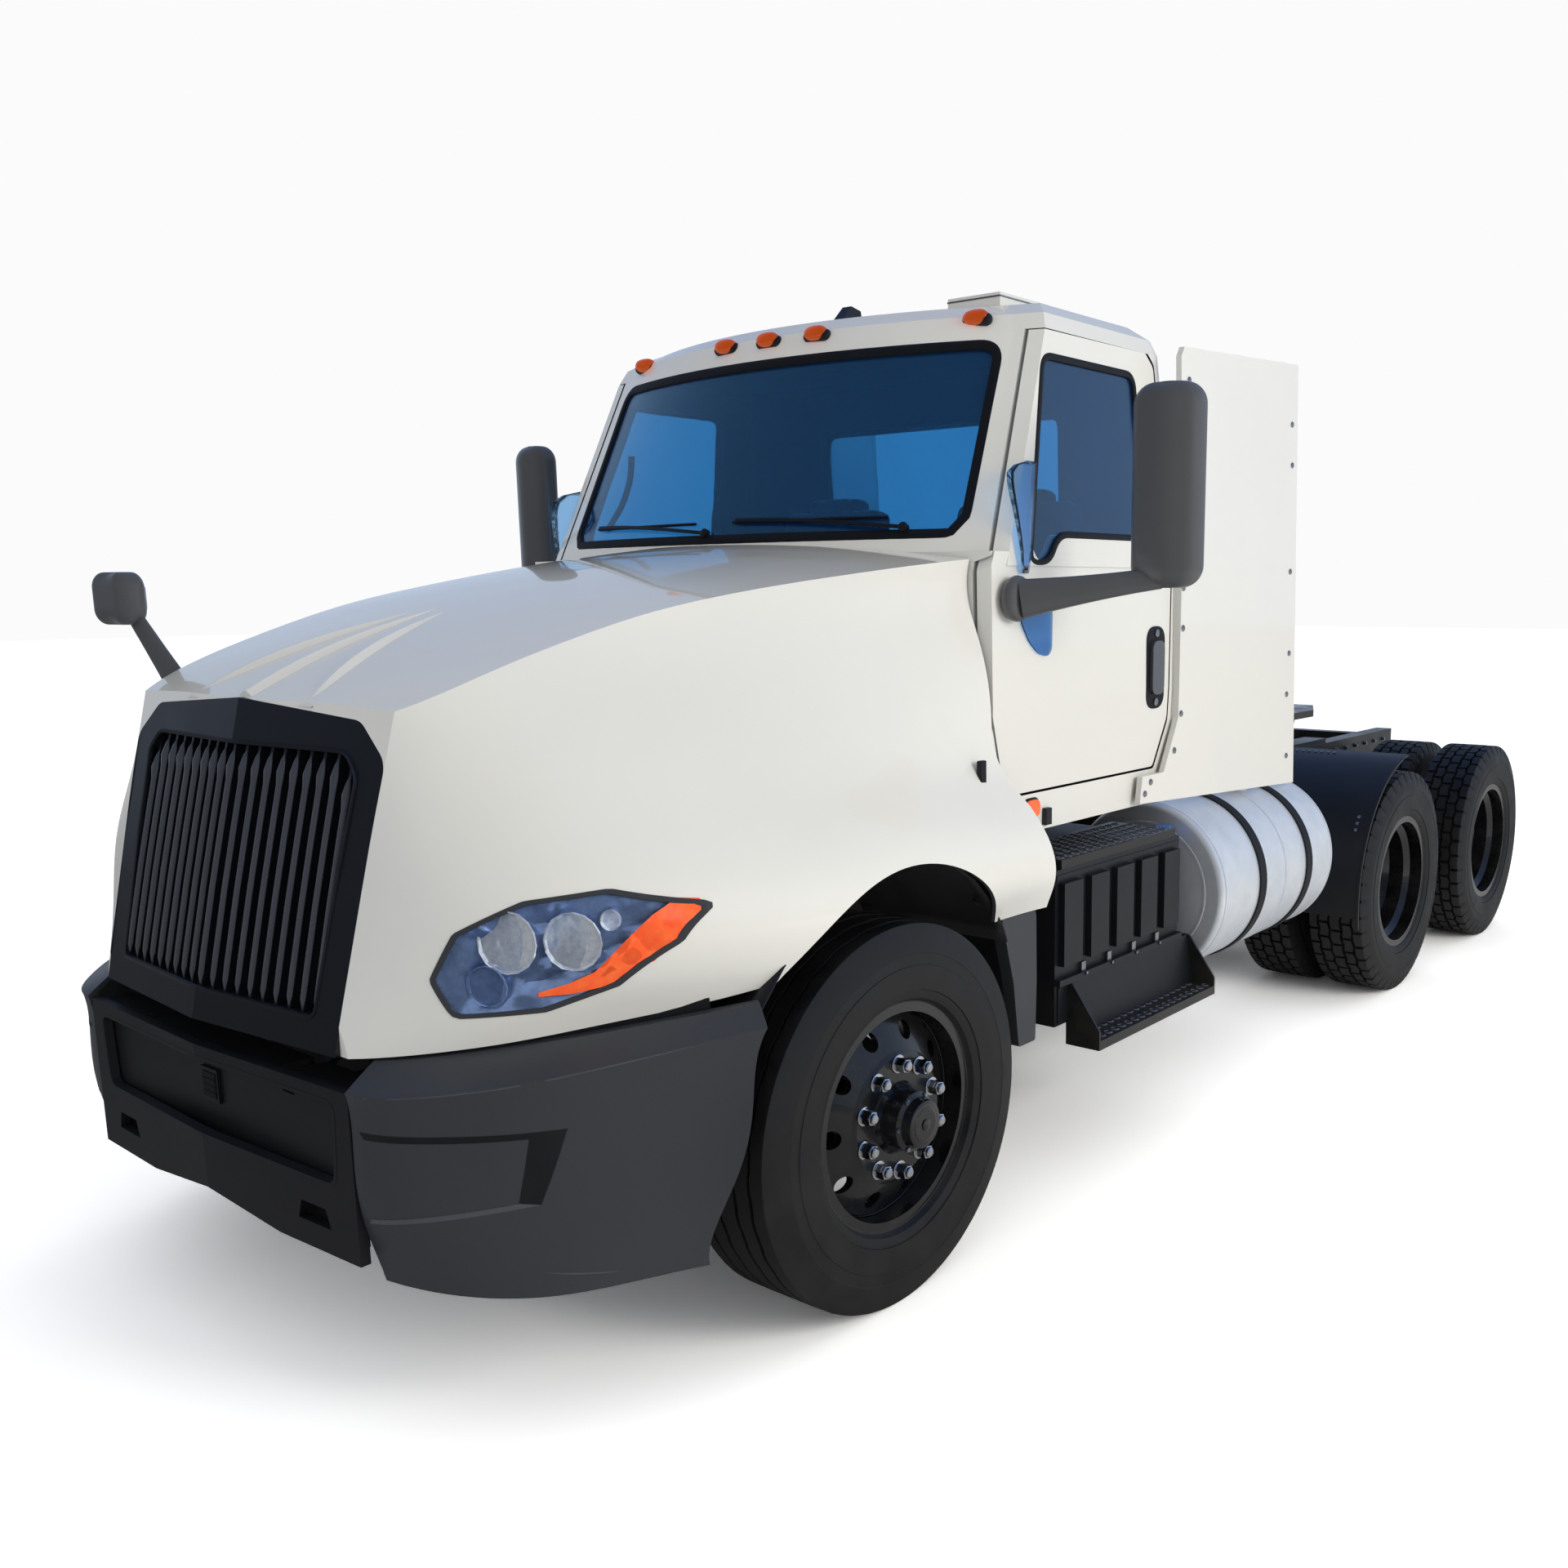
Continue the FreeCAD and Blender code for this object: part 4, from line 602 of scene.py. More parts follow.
class Shape:
    """Mesh in the making, in millimetres from the nose."""

    def __init__(self) -> None:
        """Start without any face."""
        self.points: list[Vector] = []
        self.faces: list[tuple[int, ...]] = []
        self.marks: list[int] = []
        self.mark = 0

    def add(self, points: list, faces: list[tuple[int, ...]]) -> "Shape":
        """Take points and the faces between them.

        Args:
            points: Points in millimetres.
            faces: Indices into these points.

        Returns:
            This shape.
        """
        base = len(self.points)
        self.points += [Vector(point) for point in points]
        self.faces += [tuple(base + index for index in face) for face in faces]
        self.marks += [self.mark] * len(faces)
        return self

    def box(self, x: tuple, y: tuple, z: tuple, turn: Matrix | None = None) -> "Shape":
        """Box along the axes, or turned about its middle.

        Args:
            x: Low and high value to the left.
            y: Low and high value behind the nose.
            z: Low and high value above the ground.
            turn: Rotation about the middle.

        Returns:
            This shape.
        """
        corners = [Vector((x[i], y[j], z[k])) for i in (0, 1) for j in (0, 1) for k in (0, 1)]
        if turn is not None:
            middle = sum(corners, Vector()) / 8
            corners = [middle + turn @ (corner - middle) for corner in corners]
        sides = [(0, 1, 3, 2), (4, 6, 7, 5), (0, 4, 5, 1), (2, 3, 7, 6), (0, 2, 6, 4), (1, 5, 7, 3)]
        return self.add(corners, sides)

    def lathe(self, profile: list, origin: tuple, axis: tuple, sides: int = 32,
              closed: bool = False) -> "Shape":
        """Profile turned about an axis.

        Args:
            profile: Pairs of distance along the axis and radius.
            origin: Point on the axis.
            axis: Direction of the axis.
            sides: Number of segments.
            closed: Whether the profile's last point joins its first.

        Returns:
            This shape.
        """
        along = Vector(axis).normalized()
        across = along.orthogonal().normalized()
        up = along.cross(across)
        points = []
        for distance, radius in profile:
            for index in range(sides):
                angle = 2 * pi * index / sides
                spoke = across * cos(angle) + up * sin(angle)
                points.append(Vector(origin) + along * distance + spoke * radius)
        rows = len(profile)
        return self.add(points, grid(rows, sides, closed, True) + ([] if closed else lids(rows, sides)))

    def rod(self, start: tuple, end: tuple, radius: float, sides: int = 16) -> "Shape":
        """Round bar between the middles of its ends."""
        axis = Vector(end) - Vector(start)
        return self.lathe([(0, radius), (axis.length, radius)], start, axis, sides)

    def sweep(self, path: list, normals: list, section: list, closed: bool = False,
              scale: list | None = None) -> "Shape":
        """Section carried along a path.

        Args:
            path: Points of the path.
            normals: Outward direction at each point.
            section: Pairs of offset sideways and offset outward.
            closed: Whether the path's end joins its start.
            scale: Size of the section at each point.

        Returns:
            This shape.
        """
        count, width = len(path), len(section)
        points = []
        for index, here in enumerate(path):
            before = path[index - 1] if closed or index else here
            after = path[(index + 1) % count] if closed or index < count - 1 else here
            tangent = (Vector(after) - Vector(before)).normalized()
            normal = Vector(normals[index])
            normal = (normal - tangent * normal.dot(tangent)).normalized()
            side = tangent.cross(normal)
            size = scale[index] if scale else 1.0
            points += [Vector(here) + (side * u + normal * v) * size for u, v in section]
        return self.add(points, grid(count, width, closed, True) + ([] if closed else lids(count, width)))

    def net(self, rows: list, closed: bool = False) -> "Shape":
        """Sheet through rows of as many points each, every row closed on itself if asked."""
        points = [point for row in rows for point in row]
        return self.add(points, grid(len(rows), len(rows[0]), False, closed))

    def slab(self, outline: list, depth: Vector) -> "Shape":
        """Flat outline given thickness.

        Args:
            outline: Points of the outline.
            depth: From the front face to the back face.

        Returns:
            This shape.
        """
        count = len(outline)
        front = [Vector(point) for point in outline]
        back = [point + depth for point in front]
        return self.add(front + back, lids(2, count) + grid(2, count, False, True))

    def pillow(self, plan: list, low: float, high: float, corner: float, end: float) -> "Shape":
        """Upright housing with rounded corners and rounded ends.

        Args:
            plan: Corners of its section as pairs.
            low: Height of its lower end.
            high: Height of its upper end.
            corner: Rounding of the corners.
            end: Rounding of the ends.

        Returns:
            This shape.
        """
        outline = divided(rounded(plan, corner, 8), 18)
        middle = [sum(p[k] for p in outline) / len(outline) for k in (0, 1)]
        turns = [radians(a) for a in range(0, 91, 10)]
        levels = [(low + end * (1 - sin(a)), end * (1 - cos(a))) for a in reversed(turns)]
        levels += [(lerp(low + end, high - end, t / 4), 0.0) for t in (1, 2, 3)]
        levels += [(high - end * (1 - sin(a)), end * (1 - cos(a))) for a in turns]
        rows = []
        for z, inset in levels:
            row = []
            for x, y in outline:
                away = hypot(x - middle[0], y - middle[1])
                share = max(1 - inset / away, 0.3)
                row.append((lerp(middle[0], x, share), lerp(middle[1], y, share), z))
            rows.append(row)
        return self.net(rows, closed=True).add(rows[0] + rows[-1], lids(2, len(outline)))

    def mirrored(self) -> "Shape":
        """This shape with its mirror image on the vehicle's other side.

        Returns:
            This shape.
        """
        count = len(self.points)
        self.points += [Vector((-p.x, p.y, p.z)) for p in self.points]
        self.faces += [tuple(count + index for index in reversed(face)) for face in list(self.faces)]
        self.marks += list(self.marks)
        return self

    def on_side(self, side: str) -> "Shape":
        """This shape, drawn on the left, moved to its side.

        Args:
            side: Name of the side.

        Returns:
            This shape.
        """
        if side == "right":
            self.points = [Vector((-p.x, p.y, p.z)) for p in self.points]
            self.faces = [tuple(reversed(face)) for face in self.faces]
        return self

    def into(self, name: str, body: str, *finishes: Palette, angle: float = 38.0,
             bevel_mm: float = 0.0) -> Object:
        """Make the object.

        Args:
            name: Name of the piece.
            body: Body that it rides on.
            *finishes: Finish of each mark.
            angle: Edges sharper than this many degrees stay hard.
            bevel_mm: Width of the rounding on hard edges.

        Returns:
            The object.
        """
        mesh = bpy.data.meshes.new(name)
        mesh.from_pydata([at(*point) for point in self.points], [], self.faces)
        mesh.polygons.foreach_set("material_index", self.marks)
        mesh.shade_smooth()
        mesh.set_sharp_from_angle(angle=radians(angle))
        mesh.validate()
        mesh.update()
        obj = bpy.data.objects.new(name, mesh)
        bpy.context.scene.collection.objects.link(obj)
        for finish in finishes:
            mesh.materials.append(finish.material)
        if bevel_mm:
            rounding = obj.modifiers.new("edges", "BEVEL")
            rounding.width = bevel_mm * MM
            rounding.segments = 2
            rounding.limit_method = "ANGLE"
            rounding.angle_limit = radians(angle)
            rounding.harden_normals = True
        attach(obj, body)
        log.info("%s: %d faces", name, len(self.faces))
        return obj


@dataclass
class Skin:
    """Outer surface of a CAD node, found by shooting at it.

    Attributes:
        obj: The node's object.
        ahead: Where rays from the front start, as a distance behind the nose.
    """

    obj: Object
    ahead: float = -400.0

    def hit(self, start: tuple, direction: tuple) -> tuple[Vector, Vector] | None:
        """First point that a ray meets.

        Args:
            start: Start in millimetres from the nose.
            direction: Direction of the ray.

        Returns:
            The point in millimetres and the surface's normal, or None.
        """
        way = Vector(direction).normalized()
        found, place, normal, _ = self.obj.ray_cast(at(*start), way)
        if not found:
            return None
        point = Vector((place.x / MM, place.y / MM + NOSE_TO_MIDDLE, place.z / MM))
        return point, (-normal if normal.dot(way) > 0 else normal)

    def trace(self, starts: list, direction: tuple) -> tuple[list, list]:
        """Points and normals where rays of one direction meet the surface."""
        found = [hit for hit in (self.hit(start, direction) for start in starts) if hit]
        return [point for point, _ in found], [normal for _, normal in found]

    def from_front(self, x: float, z: float) -> tuple[Vector, Vector] | None:
        """Point and normal seen straight from the front at this place, or None."""
        return self.hit((x, self.ahead, z), BACK)

    def trace_front(self, pairs: list) -> tuple[list, list]:
        """Points and normals seen straight from the front at pairs of x and z."""
        return self.trace([(x, self.ahead, z) for x, z in pairs], BACK)


@dataclass
class Assembly:
    """Part of the vehicle.

    Attributes:
        nodes: CAD objects by name.
    """

    nodes: dict

    def paint(self, finish: Palette, *names: str) -> None:
        """Give CAD nodes their finish.

        Args:
            finish: The finish.
            *names: Names of the nodes.
        """
        for name in names:
            for slot in self.nodes[name].material_slots:
                slot.link = "OBJECT"
                slot.material = finish.material

    def skin(self, name: str) -> Skin:
        """Outer surface of a node."""
        return Skin(self.nodes[name])


# Wheels

class Tread(Enum):
    """Patterns of the tread."""

    RIB = "ribs around the tyre"
    LUG = "blocks across the tyre"


# One pitch of blocks: share of the pitch, cut in even and odd columns, shift of the grooves
LUG_PITCH = (
    (0.0, (False, False), 3), (0.03, (True, False), 3), (0.15, (True, False), 3),
    (0.18, (False, False), 3), (0.5, (False, False), -3), (0.53, (False, True), -3),
    (0.65, (False, True), -3), (0.68, (False, False), -3),
)


@dataclass(frozen=True)
class Tyre:
    """One tyre with its tread, about X through the axle.

    Attributes:
        middle_x: Middle of the tyre.
        axle_y: Axle behind the nose.
        width: Section width.
        tread: Pattern.
        radius: Outer radius.
        bead_x: Half distance between the beads.
        groove_depth: Depth of the main grooves.
        shoulder: From the section's side in to the tread's edge.
        crown: How far the tread falls toward its edges.
        pitches: Blocks around a lugged tyre.
        stations: Stations around a ribbed tyre.
        wander: Sideways waves of a ribbed tyre's grooves.
    """

    middle_x: float
    axle_y: float
    width: float
    tread: Tread
    radius: float = 505.5
    bead_x: float = 108.5
    groove_depth: float = 15.0
    shoulder: float = 23.0
    crown: float = 2.0
    pitches: int = 42
    stations: int = 180
    wander: float = 1.6

    @property
    def wall(self) -> Pairs:
        """Side wall as distance from the middle and radius, from the bead to the shoulder."""
        half = self.width / 2
        return [(self.bead_x, 293), (self.bead_x + 10, 303), (half - 14, 310), (half - 8, 326),
                (half - 7, 333), (half - 3.6, 334.5), (half - 2.5, 352), (half - 0.8, 372), (half, 392),
                (half, 398), (half - 1.6, 399.5), (half - 1.6, 428), (half - 0.6, 429.5), (half - 4.5, 450),
                (half - 10, 470), (half - 15, 487), (half - 18, 497), (half - 20.5, 503.5)]

    @staticmethod
    def notch(radius: float) -> float:
        """Depth of the notches between blocks where they run down the shoulder."""
        return 9 if radius > 480 else 3 if radius > 460 else 0

    def columns(self) -> list[tuple[float, bool, int]]:
        """Stations across the tread.

        Returns:
            Place, whether it lies in a groove, and number of the column of blocks.
        """
        edge = self.width / 2 - self.shoulder
        ribbed = self.tread is Tread.RIB
        grooves = (-82, -30, 30, 82) if ribbed else (-76, -27, 27, 76)
        half = 5.0 if ribbed else 6.0
        floor = half * 0.6
        result: list[tuple[float, bool, int]] = [(-edge, False, 0)]
        for number, groove in enumerate(grooves):
            result += [(groove - half, False, number), (groove - floor, True, number),
                       (groove + floor, True, number), (groove + half, False, number + 1)]
        return result + [(edge, False, len(grooves))]

    def turns(self) -> list[tuple[float, tuple[bool, bool], float]]:
        """Stations around the tyre.

        Returns:
            Angle, cut of even and odd columns, and shift of the grooves.
        """
        if self.tread is Tread.RIB:
            waves = [self.wander * (1 if i // 3 % 2 else -1) for i in range(self.stations)]
            return [(2 * pi * i / self.stations, (False, False), wave) for i, wave in enumerate(waves)]
        return [(2 * pi * (pitch + part) / self.pitches, cut, shift)
                for pitch in range(self.pitches) for part, cut, shift in LUG_PITCH]

    def across(self, cut: tuple[bool, bool], shift: float) -> Pairs:
        """Section of the tread.

        Args:
            cut: Whether even and odd columns of blocks are cut here.
            shift: Sideways shift of the grooves.

        Returns:
            Pairs of distance from the middle and radius.
        """
        result = []
        for x, groove, column in self.columns():
            depth = self.groove_depth if groove else 0.0
            if cut[column % 2] and not groove:
                depth = self.groove_depth * (0.75 if column in (0, 4) else 0.6)
            moving = abs(x) < self.width / 2 - 30
            fall = self.crown * (x / self.width * 2) ** 4
            result.append((x + (shift if moving else 0), self.radius - fall - depth))
        return result

    def build(self, shape: Shape) -> None:
        """Add the tyre.

        Args:
            shape: Shape that takes it.
        """
        rows = []
        for angle, cut, shift in self.turns():
            wall = [(x, r - self.notch(r)) for x, r in self.wall] if cut[0] else self.wall
            row = [(-x, r) for x, r in wall] + self.across(cut, shift) + wall[::-1]
            ahead, up = cos(angle), sin(angle)
            rows.append([(self.middle_x + x, self.axle_y + r * ahead, AXLE_HEIGHT + r * up) for x, r in row])
        rows.append(rows[0])
        shape.net(rows, closed=True)


@dataclass
class Wheels(Assembly):
    """Tyres with tread, and the nuts, caps and hub details of every wheel."""

    stud_circle: float = 142.9
    nut_count: int = 10
    first_nut: float = 18.0
    rim_face: float = 111.5
    rim_lip: tuple = ((0, 292.5), (0, 301), (3.2, 304.5), (5, 301), (3.5, 292.5))
    steer_width: float = 290.0
    drive_width: float = 275.0
    steer_face: float = 118.0
    drive_face: float = 24.0

    def dress(self) -> None:
        """Finish the rims and discs."""
        self.paint(Palette.WHEEL, *[n for n in self.nodes if n.startswith(("steer_wheel", "drive_wheels"))])
        self.paint(Palette.TYRE, *[n for n in self.nodes if "_tyre" in n])

    def build(self) -> None:
        """Add the fine pieces of all wheels."""
        for side in SIDES:
            self.steer(side)
            for axle, y in DRIVE_AXLES.items():
                self.drive(side, axle, y)

    @staticmethod
    def ring(circle: float, y: float, count: int, first: float) -> Pairs:
        """Places on a circle about an axle, from the first angle in degrees, as y and z."""
        angles = [radians(first + 360 * i / count) for i in range(count)]
        return [(y + circle * cos(a), AXLE_HEIGHT + circle * sin(a)) for a in angles]

    def nuts(self, shape: Shape, face: float, y: float, length: float) -> None:
        """Hexagon nuts with washers and stud ends.

        Args:
            shape: Shape that takes them.
            face: Distance to the left of the face that they sit on.
            y: The axle's distance behind the nose.
            length: From the face to the end of a stud.
        """
        for nut_y, nut_z in self.ring(self.stud_circle, y, self.nut_count, self.first_nut):
            seat = (face, nut_y, nut_z)
            shape.lathe([(0, 25), (3, 25), (4, 22)], seat, LEFT, 20)
            shape.lathe([(3, 20.5), (length - 12, 20.5), (length - 8, 18.5)], seat, LEFT, 6)
            shape.lathe([(length - 12, 15), (length - 3, 14), (length, 10)], seat, LEFT, 16)

    def steer(self, side: str) -> None:
        """Steer wheel: ribbed tyre, bright nuts, hub cap and the rim's edge.

        Args:
            side: Name of the side.
        """
        body = "steer_wheel_" + side
        tyre = Shape()
        Tyre(STEER_MIDDLE, FRONT_AXLE, self.steer_width, Tread.RIB).build(tyre)
        rubber = tyre.on_side(side).into("steer_tread_" + side, body, Palette.TYRE, angle=32)
        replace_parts(rubber, "steer_tyre_" + side)
        face = STEER_MIDDLE + self.steer_face
        bright = Shape()
        self.nuts(bright, face, FRONT_AXLE, 40)
        bright.on_side(side).into("steer_nuts_" + side, body, Palette.CHROME, angle=30, bevel_mm=0.8)
        hub = Shape()
        for bolt_y, bolt_z in self.ring(72, FRONT_AXLE, 6, 0):
            hub.lathe([(0, 8), (6, 8), (8, 6)], (face + 56, bolt_y, bolt_z), LEFT, 6)
        hub.mark = 1
        cap = ((83, [(0, 36), (0.2, 60), (3, 61), (5, 58), (5, 40)], 40),
               (88.5, [(0, 15), (4, 15), (6, 10)], 20))
        for out, profile, sides in cap:
            hub.lathe(profile, (face + out, FRONT_AXLE, AXLE_HEIGHT), LEFT, sides)
        rim = (STEER_MIDDLE + self.rim_face, FRONT_AXLE, AXLE_HEIGHT)
        hub.lathe(self.rim_lip, rim, LEFT, 96, closed=True)
        hub.on_side(side).into("steer_hub_trim_" + side, body, Palette.ZINC, Palette.WHEEL, angle=35)

    def drive(self, side: str, axle: str, y: float) -> None:
        """Pair of drive wheels: two lugged tyres, nuts and the axle flange's bolts.

        Args:
            side: Name of the side.
            axle: Name of the axle.
            y: Its distance behind the nose.
        """
        body = f"drive_wheels_{axle}_{side}"
        tyres = Shape()
        for middle in DUAL_MIDDLES:
            Tyre(middle, y, self.drive_width, Tread.LUG, groove_depth=18).build(tyres)
        rubber = tyres.on_side(side).into(f"drive_tread_{axle}_{side}", body, Palette.TYRE, angle=32)
        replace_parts(rubber, f"drive_tyres_{axle}_{side}")
        middle = sum(DUAL_MIDDLES) / 2
        trim = Shape()
        self.nuts(trim, middle + self.drive_face, y, 38)
        for bolt_y, bolt_z in self.ring(52, y, 8, 0):
            trim.lathe([(0, 9), (8, 9), (10, 7)], (middle + 100, bolt_y, bolt_z), LEFT, 6)
        trim.mark = 1
        trim.lathe(self.rim_lip, (DUAL_MIDDLES[0] + self.rim_face, y, AXLE_HEIGHT), LEFT, 96, closed=True)
        trim.on_side(side).into(f"drive_hub_trim_{axle}_{side}", body, Palette.ZINC, Palette.WHEEL,
                                   angle=30)


# Front end

@dataclass
class Grille(Assembly):
    """Grille: blades with pointed noses in front of a woven mesh."""

    profile: tuple = ((840, 45), (1200, 128), (1640, 240))
    swept: float = 48.0
    bar_count: int = 19
    bar_reach: float = 450.0
    bar_section: tuple = ((-6.5, 0), (-5, 6), (-1.5, 10), (1.5, 10), (5, 6), (6.5, 0))
    mesh_pitch: float = 15.0
    mesh_reach: float = 458.0
    mesh_heights: tuple[float, float] = (928.0, 1484.0)
    opening: tuple = ((-452, 925), (452, 925), (482, 1440), (430, 1490), (-430, 1490), (-482, 1440))

    def dress(self) -> None:
        """Finish the frame and its bars."""
        self.paint(Palette.GRILLE, "grille")

    def depth(self, x: float, z: float, back: float) -> float:
        """Distance behind the bumper's nose of the leaning V-shaped front.

        Args:
            x: Distance to the left.
            z: Height.
            back: How far behind the front the point lies.

        Returns:
            The distance.
        """
        (low, nose), (middle, waist), (high, top) = self.profile
        if z < middle:
            base = lerp(nose, waist, (z - low) / (middle - low))
        else:
            base = lerp(waist, top, (z - middle) / (high - middle))
        return base - nose + back + self.swept * abs(x) / 600

    def build(self) -> None:
        """Add blade noses, mesh and the opening's raised lip."""
        self.blades()
        self.wires()
        lip = Shape()
        outline = divided(rounded(self.opening, 24), 60)
        path = [Vector((x * 1.012, self.depth(x, z, 1), z + (4 if z > 1200 else -4))) for x, z in outline]
        lip.sweep(path, facing(FORWARD, path), [(-6, -4), (-4, 3), (4, 3), (6, -4)], closed=True)
        lip.into("grille_opening_lip", "hood", Palette.GRILLE, angle=30)

    def blades(self) -> None:
        """Pointed noses of the upright blades, each thinning out at its ends, in pale grey as a painted
        highlight.
        """
        blades = Shape()
        sizes = [0.35, 0.9, 1.0, 1.0, 1.0, 1.0, 1.35, 0.8, 0.1]
        for (x,) in between((-self.bar_reach,), (self.bar_reach,), self.bar_count - 1):
            top = 1436 + 42 * min(1.0, (460 - abs(x)) / 60)
            levels = [932, 952, 1000, 1150, 1300, top - 75, top - 45, top - 18, top]
            path = [Vector((x, self.depth(x, z, 11), z)) for z in levels]
            blades.sweep(path, facing(FORWARD, path), self.bar_section, scale=sizes)
        # Pale grey noses on the black blades: a painted highlight
        blades.into("grille_blade_noses_painted_highlight", "hood", Palette.BLADE, angle=50)

    def wires(self) -> None:
        """Mesh of slanting wires behind the blades."""
        mesh = Shape()
        low, high = self.mesh_heights
        span = high - low
        for lean in (1, -1):
            for index in range(1, int((2 * self.mesh_reach + span) / self.mesh_pitch)):
                foot = -self.mesh_reach - span + self.mesh_pitch * index
                line = [(x * lean, z) for x, z in between((foot, low), (foot + span, high), 12)
                        if abs(x) <= self.mesh_reach]
                if len(line) > 1:
                    path = [Vector((x, self.depth(x, z, 66 + lean), z)) for x, z in line]
                    mesh.sweep(path, facing(FORWARD, path), [(-1.3, -1), (-1.3, 1), (1.3, 1), (1.3, -1)])
        mesh.into("grille_mesh", "hood", Palette.BLACK_PLASTIC)


@dataclass
class HeadLamps(Assembly):
    """Headlamps: clear lens over bezel, reflectors and an amber strip."""

    middle: tuple[float, float] = (940.0, 1085.0)
    bezel: tuple = ((2.5, 0.2), (2, 1.8), (-5, 2.2), (-7.5, 1.2), (-8, -1.5))
    strip_outer: tuple = ((908, 987), (950, 988), (990, 999), (1030, 1022), (1067, 1052), (1096, 1094),
        (1111, 1130), (1117, 1154))
    strip_inner: tuple = ((912, 998), (955, 1014), (995, 1038), (1025, 1077), (1049, 1115), (1069, 1154),
        (1086, 1184), (1106, 1178))
    bowls: tuple = ((882, 1112, 66, 0), (978, 1108, 62, 0), (838, 1014, 44, 1), (1024, 1150, 20, 0))

    def dress(self) -> None:
        """Finish the lens."""
        self.paint(Palette.LENS, "headlamps")

    def build(self) -> None:
        """Add everything that shows through the lens, on both sides."""
        edge = self.edge()
        rows = []
        for out, lift in self.bezel:
            pairs = []
            for index, (x, z) in enumerate(edge):
                before, after = edge[index - 3], edge[(index + 3) % len(edge)]
                along = Vector((after[0] - before[0], after[1] - before[1])).normalized()
                pairs.append((x + along.y * out, z - along.x * out))
            rows.append(self.onto(pairs, lift))
        Shape().net(rows, closed=True).mirrored().into("lamp_bezels", "hood", Palette.BUMPER, angle=50)
        self.strip()
        self.backing(edge)
        self.reflectors()

    def onto(self, pairs: list, lift: float) -> list[Vector]:
        """Points on the lens or the paint round it, seen from the front.

        Args:
            pairs: Places as x and z.
            lift: Distance out of the surface.

        Returns:
            The points.
        """
        skins = (self.skin("headlamps"), self.skin("hood_shell"))
        points = []
        for x, z in pairs:
            hits = [hit for hit in (skin.from_front(x, z) for skin in skins) if hit]
            if hits:
                point, normal = min(hits, key=lambda hit: hit[0].y)
                points.append(point + normal * lift)
        return points

    def edge(self) -> Pairs:
        """True outline of the lens as seen from the front, found by closing in on it from its middle.

        Returns:
            Pairs of x and z.
        """
        lens, paint = self.skin("headlamps"), self.skin("hood_shell")
        pairs = []
        for across, up in oval(1, 1, 120):
            low, high = 0.0, 260.0
            for _ in range(11):
                reach = (low + high) / 2
                place = (self.middle[0] + reach * across, self.middle[1] + reach * up)
                clear, opaque = lens.from_front(*place), paint.from_front(*place)
                if clear and (opaque is None or clear[0].y < opaque[0].y + 1):
                    low = reach
                else:
                    high = reach
            pairs.append((self.middle[0] + low * across, self.middle[1] + low * up))
        return pairs

    def strip(self) -> None:
        """Amber strip along the lower and outer edge."""
        rows = []
        for step in range(5):
            pairs = [(lerp(a[0], b[0], step / 4), lerp(a[1], b[1], step / 4))
                     for a, b in zip(self.strip_outer, self.strip_inner)]
            rows.append(self.onto(pairs, 1.1 if step in (1, 3) else 0.5))
        Shape().net(rows).mirrored().into("lamp_amber_strips", "hood", Palette.AMBER_BACK)

    def backing(self, edge: list) -> None:
        """Folded backing behind the lens.

        Args:
            edge: Outline of the lens as x and z.
        """
        rows = []
        for step in range(10):
            share = 0.02 + 0.96 * step / 9
            pairs = [(lerp(x, self.middle[0], share), lerp(z, self.middle[1], share)) for x, z in edge]
            path, normals = self.skin("headlamps").trace_front(pairs)
            if len(path) == len(pairs):
                depth = 5 + 30 * min(1.0, step / 4)
                folds = [depth + 5 * sin(x / 17) * cos(step * 1.1) for x, _ in pairs]
                rows.append([p - n * fold for p, n, fold in zip(path, normals, folds)])
        backing = Shape().net(rows, closed=True)
        backing.mirrored().into("lamp_reflector_backing", "hood", Palette.LAMP_BACK, angle=24)

    def reflectors(self) -> None:
        """Faceted bowls, each with its bulb shield."""
        bowls = Shape()
        for x, z, radius, mark in self.bowls:
            hit = self.skin("headlamps").from_front(x, z)
            if hit is None:
                continue
            point, normal = hit
            way = (normal + FORWARD * 0.8).normalized()
            bowls.mark = mark
            bowls.lathe([(-34, radius * 0.25), (-31, radius * 0.5), (-22, radius * 0.76),
                         (-12, radius * 0.95), (-7, radius), (-6, radius + 3), (-12, radius + 3)],
                        point, way, 16)
            bowls.mark = 2
            bowls.lathe([(-30, 2), (-30, 12), (-18, 11), (-13, 7), (-12, 1)], point, way, 20)
        bowls.mirrored().into("lamp_bowls", "hood", Palette.REFLECTOR, Palette.LAMP_BACK, Palette.CHROME,
                              angle=8)


